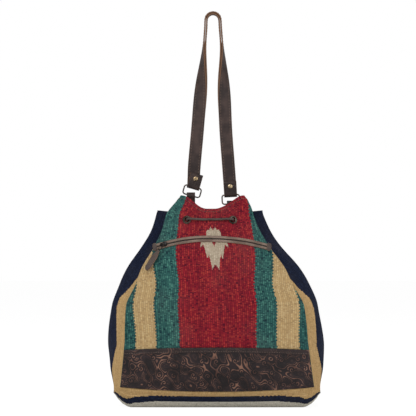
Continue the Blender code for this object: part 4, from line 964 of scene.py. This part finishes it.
def make_pocket(cotton):
    """The flat cotton pocket that hangs behind the zip, against the front panel's inner face."""
    rows, columns = 42, 121
    u = np.linspace(-POCKET_HALF_U, POCKET_HALF_U, columns)[None, :].repeat(rows, axis=0)
    share = np.linspace(0.0, 1.0, rows)[:, None]
    z = POCKET_TOP_Z - POCKET_DEPTH * (1.0 - share) - ZIP_DROOP * (u / ZIP_HALF_U) ** 2 * smooth(share)
    face = cloth(FRONT, u, z)
    normal = grid_normals(face)
    puff = 0.0007 * np.sin(u * 70.0) * np.sin(math.pi * share)
    outer = face - normal * (CLOTH + POCKET_GAP)
    inner = outer - normal * (POCKET_THICKNESS + np.maximum(puff, 0.0))[..., None]
    piece = double_sheet("inner_zip_pocket", outer, inner, cotton, (), (), False)
    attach(piece, "bag")
    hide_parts("zip_pocket_bag")


def make_pull(leather, black, thread):
    """The slider's bridge and the stitched leather tongue, measured off the solid pull."""
    point, normal, run, _ = zip_frame(SLIDER_U)
    arch = []
    for i in range(13):
        angle = math.pi * i / 12
        lift = BRIDGE_FOOT + BRIDGE_RISE * math.sin(angle)
        arch.append(point + run * (BRIDGE_HALF_LENGTH * math.cos(angle)) + normal * lift)
    bridge = tube("slider_bridge", arch, BRIDGE_RADIUS, black)
    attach(bridge, "slider")
    obj = bpy.data.objects["zip_pull"]
    corners = np.array([tuple(obj.matrix_world @ v.co) for v in obj.data.vertices])
    centre = 0.5 * (corners.max(axis=0) + corners.min(axis=0))
    _, _, axes = np.linalg.svd(corners - corners.mean(axis=0), full_matrices=False)
    long_axis, wide_axis, thin_axis = [Vector(tuple(a)) for a in axes]
    if long_axis.z > 0:
        long_axis = -long_axis
    if thin_axis.y > 0:
        thin_axis = -thin_axis
    half = []
    middle = Vector(tuple(centre))
    for axis in (long_axis, wide_axis, thin_axis):
        spread = (corners - centre) @ np.array(tuple(axis))
        half.append(0.5 * float(np.ptp(spread)))
        middle += axis * (0.5 * float(spread.max() + spread.min()))
    frames, widths = [], []
    for i in range(49):
        share = i / 48
        wide = TONGUE_NECK + (1.0 - TONGUE_NECK) * float(smooth(share / TONGUE_FULL))
        if share > TONGUE_END:
            past = (share - TONGUE_END) / (1.0 - TONGUE_END)
            wide = math.sqrt(max(TONGUE_END_NARROWEST, 1.0 - past**2))
        bow = TONGUE_BOW * math.sin(math.pi * share)
        place = middle + long_axis * (half[0] * (2.0 * share - 1.0)) + thin_axis * bow
        frames.append((place, wide_axis, thin_axis))
        widths.append(half[1] * wide)
    tongue = leather_band("zip_pull_tongue", frames, half[1], 2.0 * half[2], leather, 0.0, widths)
    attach(tongue, "pull")
    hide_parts("zip_pull")
    places = []
    for side in (-1.0, 1.0):
        for i in range(TONGUE_STITCHES):
            at = TONGUE_STITCH_REACH * (2.0 * i / (TONGUE_STITCHES - 1) - 1.0)
            spread = half[1] * (0.38 + 0.20 * smooth((at + TONGUE_STITCH_REACH) / 0.8))
            spot = middle + long_axis * (half[0] * at) + wide_axis * (side * float(spread))
            places.append((spot + thin_axis * (half[2] + 0.0004), long_axis, thin_axis))
    stitch_line("pull_stitching", places, thread, "pull", 0.0022, 0.00028)


def lace_half(side, sign):
    """The lace from near the middle of a panel to its eyelet, and through it."""
    over = BEAD_TOP + LACE_RADIUS + LACE_OVER_BEAD
    stops = LACE_STOPS + tuple((u, over) for u in BEAD_STOP_U)
    stops += tuple((EYELET_U + aside, lift) for aside, lift in LACE_THROUGH)
    route = []
    for u, lift in stops:
        point, normal, _ = cloth_frame(side, sign * u, EYELET_Z[side])
        route.append(point + normal * lift)
    return route


def make_lace(leather):
    """The lace through all four eyelets, and the knot at the back."""
    inside_z = 0.5 * (EYELET_Z[FRONT] + EYELET_Z[BACK])
    left = Vector((-LACE_INSIDE_X + float(lean(inside_z)), 0.0, inside_z))
    right = Vector((LACE_INSIDE_X + float(lean(inside_z)), 0.0, inside_z))
    crest, normal, _ = cloth_frame(FRONT, 0.0, EYELET_Z[FRONT])
    middle = [crest + normal * (LACE_RADIUS + LACE_OVER_CREST)]
    right_back = lace_half(BACK, 1)
    route = lace_half(BACK, -1) + [left] + list(reversed(lace_half(FRONT, -1))) + middle + lace_half(FRONT, 1)
    route += [right] + list(reversed(right_back))
    lace = tube("lace", smooth_route(route, LACE_STEP), LACE_RADIUS, leather)
    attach(lace, "bag")
    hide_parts("drawstring")
    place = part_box("drawstring_knot")
    centre = (Vector(place[0]) + Vector(place[1])) * 0.5
    turns = []
    for i in range(KNOT_POINTS):
        t = 2.0 * math.pi * i / KNOT_POINTS
        ring = KNOT_RING + KNOT_WAVE * math.cos(3 * t)
        across, up = KNOT_STRETCH * ring * math.cos(2 * t), ring * math.sin(2 * t)
        turns.append(centre + Vector((across, KNOT_WAVE * math.sin(3 * t), up)))
    knot = tube("lace_knot", turns, KNOT_RADIUS, leather, cyclic=True)
    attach(knot, "bag")
    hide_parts("drawstring_knot")


# Materials


def node_group(name, inputs, outputs):
    """An empty shader group with its named sockets, and the nodes for them."""
    group = bpy.data.node_groups.new(name, "ShaderNodeTree")
    for label, kind, default in inputs:
        socket = group.interface.new_socket(label, in_out="INPUT", socket_type=kind)
        socket.default_value = default
    for label, kind in outputs:
        group.interface.new_socket(label, in_out="OUTPUT", socket_type=kind)
    return group, group.nodes.new("NodeGroupInput"), group.nodes.new("NodeGroupOutput")


def math_node(tree, operation, a, b=None):
    """One calculation on numbers or on other nodes' results."""
    node = tree.nodes.new("ShaderNodeMath")
    node.operation = operation
    for socket, value in zip(node.inputs, (a, b)):
        if value is None:
            continue
        if isinstance(value, (int, float)):
            socket.default_value = value
        else:
            tree.links.new(value, socket)
    return node.outputs[0]


def mix_colour(tree, factor, a, b):
    """Mixes two colours by a factor."""
    node = tree.nodes.new("ShaderNodeMix")
    node.data_type = "RGBA"
    for socket, value in ((node.inputs["Factor"], factor), (node.inputs[6], a), (node.inputs[7], b)):
        if isinstance(value, (int, float)):
            socket.default_value = value
        elif isinstance(value, tuple):
            socket.default_value = (*value, 1.0)
        else:
            tree.links.new(value, socket)
    return node.outputs[2]


def ramp(tree, factor, low, high):
    """A soft step from 0 to 1 between two values."""
    node = tree.nodes.new("ShaderNodeMapRange")
    node.interpolation_type = "SMOOTHSTEP"
    tree.links.new(factor, node.inputs["Value"])
    node.inputs["From Min"].default_value = low
    node.inputs["From Max"].default_value = high
    return node.outputs["Result"]


def attribute(tree, name):
    """A named value of the mesh."""
    node = tree.nodes.new("ShaderNodeAttribute")
    node.attribute_name = name
    return node.outputs["Fac"]


def noise_node(tree, scale, detail, vector=None):
    """Noise in the object's own coordinates."""
    node = tree.nodes.new("ShaderNodeTexNoise")
    node.inputs["Scale"].default_value = scale
    node.inputs["Detail"].default_value = detail
    if vector is None:
        vector = tree.nodes.new("ShaderNodeTexCoord").outputs["Object"]
    tree.links.new(vector, node.inputs["Vector"])
    return node.outputs["Fac"]


def weave_group():
    """Packed flat weave: upright ribs, each crossed by short picks of mixed yarn."""
    group, into, out = node_group(
        "flat_weave",
        (("Across", "NodeSocketFloat", 0.0), ("Along", "NodeSocketFloat", 0.0),
         ("Rib", "NodeSocketFloat", RIB), ("Pick", "NodeSocketFloat", PICK)),
        (("Height", "NodeSocketFloat"), ("Light Fleck", "NodeSocketFloat"), ("Dark Fleck", "NodeSocketFloat"),
         ("Painted Valley Shade", "NodeSocketFloat"), ("Strand", "NodeSocketFloat")),
    )
    tree = group
    ribs = math_node(tree, "DIVIDE", into.outputs["Across"], into.outputs["Rib"])
    ribs = math_node(tree, "ADD", ribs, 0.5)
    column = math_node(tree, "FLOOR", ribs)
    in_rib = math_node(tree, "FRACT", ribs)
    picks = math_node(tree, "DIVIDE", into.outputs["Along"], into.outputs["Pick"])
    picks = math_node(tree, "ADD", picks, math_node(tree, "MULTIPLY", column, 0.5))
    row = math_node(tree, "FLOOR", picks)
    in_pick = math_node(tree, "FRACT", picks)
    place = tree.nodes.new("ShaderNodeCombineXYZ")
    tree.links.new(column, place.inputs[0])
    tree.links.new(row, place.inputs[1])
    random = tree.nodes.new("ShaderNodeTexWhiteNoise")
    random.noise_dimensions = "2D"
    tree.links.new(place.outputs[0], random.inputs["Vector"])
    chance = random.outputs["Value"]
    long_runs = tree.nodes.new("ShaderNodeTexNoise")
    stretched = tree.nodes.new("ShaderNodeCombineXYZ")
    tree.links.new(math_node(tree, "MULTIPLY", column, 0.83), stretched.inputs[0])
    tree.links.new(math_node(tree, "MULTIPLY", row, 0.19), stretched.inputs[1])
    tree.links.new(stretched.outputs[0], long_runs.inputs["Vector"])
    long_runs.inputs["Scale"].default_value = 1.0
    single = math_node(tree, "MULTIPLY", chance, 0.55)
    drift = math_node(tree, "ADD", single, math_node(tree, "MULTIPLY", long_runs.outputs["Fac"], 0.6))
    tree.links.new(ramp(tree, drift, 0.60, 0.86), out.inputs["Light Fleck"])
    tree.links.new(ramp(tree, math_node(tree, "SUBTRACT", 1.15, drift), 0.66, 0.94), out.inputs["Dark Fleck"])
    strand = tree.nodes.new("ShaderNodeTexWhiteNoise")
    strand.noise_dimensions = "1D"
    tree.links.new(column, strand.inputs["W"])
    tree.links.new(strand.outputs["Value"], out.inputs["Strand"])
    across = math_node(tree, "SINE", math_node(tree, "MULTIPLY", in_rib, math.pi))
    along = math_node(tree, "SINE", math_node(tree, "MULTIPLY", in_pick, math.pi))
    across = math_node(tree, "POWER", math_node(tree, "ABSOLUTE", across), 0.6)
    along = math_node(tree, "POWER", math_node(tree, "ABSOLUTE", along), 0.5)
    height = math_node(tree, "MULTIPLY", across, along)
    tree.links.new(height, out.inputs["Height"])
    # Painted shade: how deep a point lies between the ribs and picks, used to darken the colour where shade
    # would fall
    tree.links.new(math_node(tree, "SUBTRACT", 1.0, ramp(tree, height, 0.10, 0.62)), out.inputs["Painted Valley Shade"])
    return group


def grain_group():
    """Leather grain: fine pebbles, larger creases and slow patches of wear."""
    group, into, out = node_group(
        "leather_grain",
        (("Size", "NodeSocketFloat", 900.0),),
        (("Height", "NodeSocketFloat"), ("Patch", "NodeSocketFloat"), ("Speck", "NodeSocketFloat")),
    )
    tree = group
    position = tree.nodes.new("ShaderNodeTexCoord").outputs["Object"]
    cells = tree.nodes.new("ShaderNodeTexVoronoi")
    cells.feature = "DISTANCE_TO_EDGE"
    tree.links.new(position, cells.inputs["Vector"])
    tree.links.new(into.outputs["Size"], cells.inputs["Scale"])
    pebble = ramp(tree, cells.outputs["Distance"], 0.0, 0.18)
    crease = noise_node(tree, 260.0, 4.0, position)
    pebble, crease = math_node(tree, "MULTIPLY", pebble, 0.6), math_node(tree, "MULTIPLY", crease, 0.5)
    tree.links.new(math_node(tree, "ADD", pebble, crease), out.inputs["Height"])
    tree.links.new(ramp(tree, noise_node(tree, 55.0, 5.0, position), 0.36, 0.66), out.inputs["Patch"])
    tree.links.new(ramp(tree, noise_node(tree, 700.0, 3.0, position), 0.52, 0.72), out.inputs["Speck"])
    return group


def new_material(name, roughness, metallic=0.0):
    """A material with its nodes and its shader."""
    material = bpy.data.materials.new(name)
    material.use_nodes = True
    shader = material.node_tree.nodes["Principled BSDF"]
    shader.inputs["Roughness"].default_value = roughness
    shader.inputs["Metallic"].default_value = metallic
    return material, material.node_tree, shader


def use_group(tree, group, **values):
    """A group placed in a material with that material's own values."""
    node = tree.nodes.new("ShaderNodeGroup")
    node.node_tree = group
    for label, value in values.items():
        node.inputs[label.replace("_", " ")].default_value = value
    return node


def bump(tree, shader, height, strength, distance):
    """Bends the surface by a height."""
    node = tree.nodes.new("ShaderNodeBump")
    node.inputs["Strength"].default_value = strength
    node.inputs["Distance"].default_value = distance
    tree.links.new(height, node.inputs["Height"])
    tree.links.new(node.outputs["Normal"], shader.inputs["Normal"])


def yarn_ramp(tree, number, which):
    """The colour of each numbered yarn: 0 its body, 1 its light fleck, 2 its dark fleck, also used for the
    painted shade between the ribs.
    """
    node = tree.nodes.new("ShaderNodeValToRGB")
    node.color_ramp.interpolation = "CONSTANT"
    elements = node.color_ramp.elements
    while len(elements) < len(YARNS):
        elements.new(0.5)
    for index, yarn in enumerate(YARNS):
        elements[index].position = 0.0 if index == 0 else (index - 0.5) / 10.0
        elements[index].color = (*YARN_COLOURS[yarn][which], 1.0)
    tree.links.new(math_node(tree, "DIVIDE", number, 10.0), node.inputs["Fac"])
    return node.outputs["Color"]


def weave_material(weave):
    """All woven cloth: each yarn colour with its flecks, and painted shade between the ribs."""
    material, tree, shader = new_material("kilim_weave", 0.88)
    cloth_weave = use_group(tree, weave)
    tree.links.new(attribute(tree, "across"), cloth_weave.inputs["Across"])
    tree.links.new(attribute(tree, "along"), cloth_weave.inputs["Along"])
    number = attribute(tree, "yarn")
    light = math_node(tree, "MULTIPLY", cloth_weave.outputs["Light Fleck"], LIGHT_FLECKS)
    colour = mix_colour(tree, light, yarn_ramp(tree, number, 0), yarn_ramp(tree, number, 1))
    dark = math_node(tree, "MULTIPLY", cloth_weave.outputs["Dark Fleck"], DARK_FLECKS)
    colour = mix_colour(tree, dark, colour, yarn_ramp(tree, number, 2))
    strand = math_node(tree, "MULTIPLY", cloth_weave.outputs["Strand"], STRAND_SHADES)
    colour = mix_colour(tree, strand, colour, yarn_ramp(tree, number, 2))
    # Painted shade between the ribs: the dips are mixed towards the dark fleck colour
    painted_valley_shade = math_node(tree, "MULTIPLY", cloth_weave.outputs["Painted Valley Shade"], 0.85)
    colour = mix_colour(tree, painted_valley_shade, colour, yarn_ramp(tree, number, 2))
    fade = math_node(tree, "MULTIPLY", ramp(tree, noise_node(tree, 22.0, 4.0), 0.4, 0.8), 0.04)
    colour = mix_colour(tree, fade, colour, FADED_YARN)
    tree.links.new(colour, shader.inputs["Base Color"])
    shader.inputs["Sheen Weight"].default_value = 0.02
    shader.inputs["Sheen Roughness"].default_value = 0.5
    shader.inputs["Specular IOR Level"].default_value = 0.08
    fuzz = math_node(tree, "MULTIPLY", noise_node(tree, 1900.0, 2.0), 0.35)
    bump(tree, shader, math_node(tree, "ADD", cloth_weave.outputs["Height"], fuzz), 0.75, 0.0006)
    return material


def tooled_material(grain):
    """Dark leather whose raised scrolls are rubbed to copper."""
    material, tree, shader = new_material("tooled_leather", 0.46)
    shader.inputs["Specular IOR Level"].default_value = 0.3
    hide = use_group(tree, grain, Size=1100.0)
    ridge = attribute(tree, "ridge")
    ground = mix_colour(tree, hide.outputs["Patch"], *TOOLED_GROUND)
    copper = mix_colour(tree, hide.outputs["Patch"], *TOOLED_COPPER)
    wear = math_node(tree, "ADD", 0.45, math_node(tree, "MULTIPLY", hide.outputs["Patch"], 0.5))
    worn = math_node(tree, "MULTIPLY", ramp(tree, ridge, 0.35, 0.95), wear)
    colour = mix_colour(tree, worn, ground, copper)
    hem = math_node(tree, "MULTIPLY", attribute(tree, "hem"), 0.3)
    colour = mix_colour(tree, hem, colour, TOOLED_HEM)
    tree.links.new(colour, shader.inputs["Base Color"])
    rough = math_node(tree, "ADD", 0.36, math_node(tree, "MULTIPLY", hide.outputs["Speck"], 0.25))
    tree.links.new(rough, shader.inputs["Roughness"])
    bump(tree, shader, hide.outputs["Height"], 0.30, 0.0004)
    return material


def leather_material(name, grain, base, light, edge, roughness):
    """Smooth leather with a paler cut edge."""
    material, tree, shader = new_material(name, roughness)
    shader.inputs["Specular IOR Level"].default_value = 0.3
    hide = use_group(tree, grain, Size=HIDE_SCALE)
    colour = mix_colour(tree, math_node(tree, "MULTIPLY", hide.outputs["Patch"], 0.8), base, light)
    colour = mix_colour(tree, math_node(tree, "MULTIPLY", hide.outputs["Speck"], 0.25), colour, light)
    if edge is not None:
        colour = mix_colour(tree, attribute(tree, "cut_edge"), colour, edge)
    tree.links.new(colour, shader.inputs["Base Color"])
    rough = math_node(tree, "ADD", roughness - 0.08, math_node(tree, "MULTIPLY", hide.outputs["Patch"], 0.18))
    tree.links.new(rough, shader.inputs["Roughness"])
    bump(tree, shader, hide.outputs["Height"], 0.35, 0.0003)
    return material


def metal_material(name, grain, base, tarnish, roughness):
    """Old metal with tarnish in patches."""
    material, tree, shader = new_material(name, roughness, 1.0)
    spots = use_group(tree, grain, Size=2500.0)
    tree.links.new(mix_colour(tree, spots.outputs["Patch"], base, tarnish), shader.inputs["Base Color"])
    rough = math_node(tree, "ADD", roughness, math_node(tree, "MULTIPLY", spots.outputs["Speck"], 0.2))
    tree.links.new(rough, shader.inputs["Roughness"])
    bump(tree, shader, spots.outputs["Height"], 0.12, 0.0002)
    return material


def plain_material(name, base, light, roughness, scale):
    """A plain material, mottled by noise."""
    material, tree, shader = new_material(name, roughness)
    grain_noise = noise_node(tree, scale, 4.0)
    colour = mix_colour(tree, ramp(tree, grain_noise, 0.35, 0.7), base, light)
    tree.links.new(colour, shader.inputs["Base Color"])
    bump(tree, shader, grain_noise, 0.4, 0.0003)
    return material


def dress(node, material):
    """Gives a solid that stays in view its own material."""
    solid = bpy.data.objects[node].data
    solid.materials.clear()
    solid.materials.append(material)


def make_stage():
    """A pale floor, soft lamps and the camera at the photo's angle."""
    bpy.ops.mesh.primitive_plane_add(size=12.0, location=(0.0, 0.0, -0.0002))
    floor = bpy.context.active_object
    floor.name = "studio_floor"
    paper, tree, shader = new_material("white_paper", 0.9)
    shader.inputs["Base Color"].default_value = (0.93, 0.93, 0.93, 1.0)
    shader.inputs["Specular IOR Level"].default_value = 0.1
    glow = tree.nodes.new("ShaderNodeEmission")
    glow.inputs["Color"].default_value = (1.0, 1.0, 1.0, 1.0)
    glow.inputs["Strength"].default_value = 1.09
    seen = tree.nodes.new("ShaderNodeLightPath")
    blend = tree.nodes.new("ShaderNodeMixShader")
    tree.links.new(math_node(tree, "MULTIPLY", seen.outputs["Is Camera Ray"], 0.85), blend.inputs[0])
    tree.links.new(shader.outputs["BSDF"], blend.inputs[1])
    tree.links.new(glow.outputs["Emission"], blend.inputs[2])
    tree.links.new(blend.outputs[0], tree.nodes["Material Output"].inputs["Surface"])
    floor.data.materials.append(paper)
    world = bpy.data.worlds.new("white_studio")
    bpy.context.scene.world = world
    world.use_nodes = True
    sky = world.node_tree
    background = sky.nodes["Background"]
    background.inputs["Color"].default_value = (1.0, 1.0, 1.0, 1.0)
    path = sky.nodes.new("ShaderNodeLightPath")
    strength = math_node(sky, "ADD", 0.42, math_node(sky, "MULTIPLY", path.outputs["Is Camera Ray"], 0.58))
    sky.links.new(strength, background.inputs["Strength"])
    for name, place, size, power in LAMPS:
        light = bpy.data.lights.new(name, "AREA")
        light.size = size
        light.energy = power
        lamp = bpy.data.objects.new(name, light)
        lamp.location = place
        lamp.rotation_euler = (Vector(LAMP_TARGET) - Vector(place)).to_track_quat("-Z", "Y").to_euler()
        bpy.context.scene.collection.objects.link(lamp)
    camera_data = bpy.data.cameras.new("camera")
    camera = bpy.data.objects.new("camera", camera_data)
    bpy.context.scene.collection.objects.link(camera)
    camera.location = (CAMERA_X, -CAMERA_DISTANCE, CAMERA_Z)
    camera.rotation_euler = (math.radians(90.0), 0.0, 0.0)
    camera_data.sensor_width = SENSOR
    camera_data.lens = SENSOR * CAMERA_DISTANCE / PICTURE_WIDTH
    bpy.context.scene.camera = camera
    bpy.context.scene.view_settings.view_transform = "Standard"


def main():
    """Makes the materials, then every piece of the bag, then the stage."""
    weave, grain = weave_group(), grain_group()
    kilim = weave_material(weave)
    tooled = tooled_material(grain)
    strap = leather_material("strap_leather", grain, *LEATHER_COLOURS["strap"], 0.5)
    taupe = leather_material("edging_leather", grain, *LEATHER_COLOURS["edging"], 0.6)
    lace = leather_material("lace_leather", grain, *LEATHER_COLOURS["lace"], 0.5)
    pull = leather_material("pull_leather", grain, *LEATHER_COLOURS["pull"], 0.55)
    brass, dark, black = [metal_material(name, grain, *looks) for name, looks in METALS.items()]
    coil, thread, cotton, board = [plain_material(name, *looks) for name, looks in PLAINS.items()]
    make_panel("front_cloth", FRONT, "front_panel", 0.00075, kilim, True, thread)
    make_panel("back_cloth", BACK, "back_panel", 0.00100, kilim, False, thread)
    make_gusset(kilim)
    make_leather_band("front_tooled_band", FRONT, "front_leather_band", 0.00065, tooled, thread)
    make_leather_band("back_tooled_band", BACK, "back_leather_band", 0.00085, tooled, thread)
    make_strap(strap, thread)
    make_zip(taupe, pull, coil, thread)
    make_lace(lace)
    for node in ("left_ring", "right_ring", "zip_pull_link") + tuple(
        f"{where}_{hand}_eyelet" for where in ("front", "back") for hand in ("left", "right")
    ):
        dress(node, dark)
    for node in ("left_rivet", "right_rivet"):
        dress(node, brass)
    dress("zip_slider", black)
    make_pocket(cotton)
    make_pull(pull, black, thread)
    make_ring_tabs(strap)
    dress("base_board", board)
    make_stage()


main()
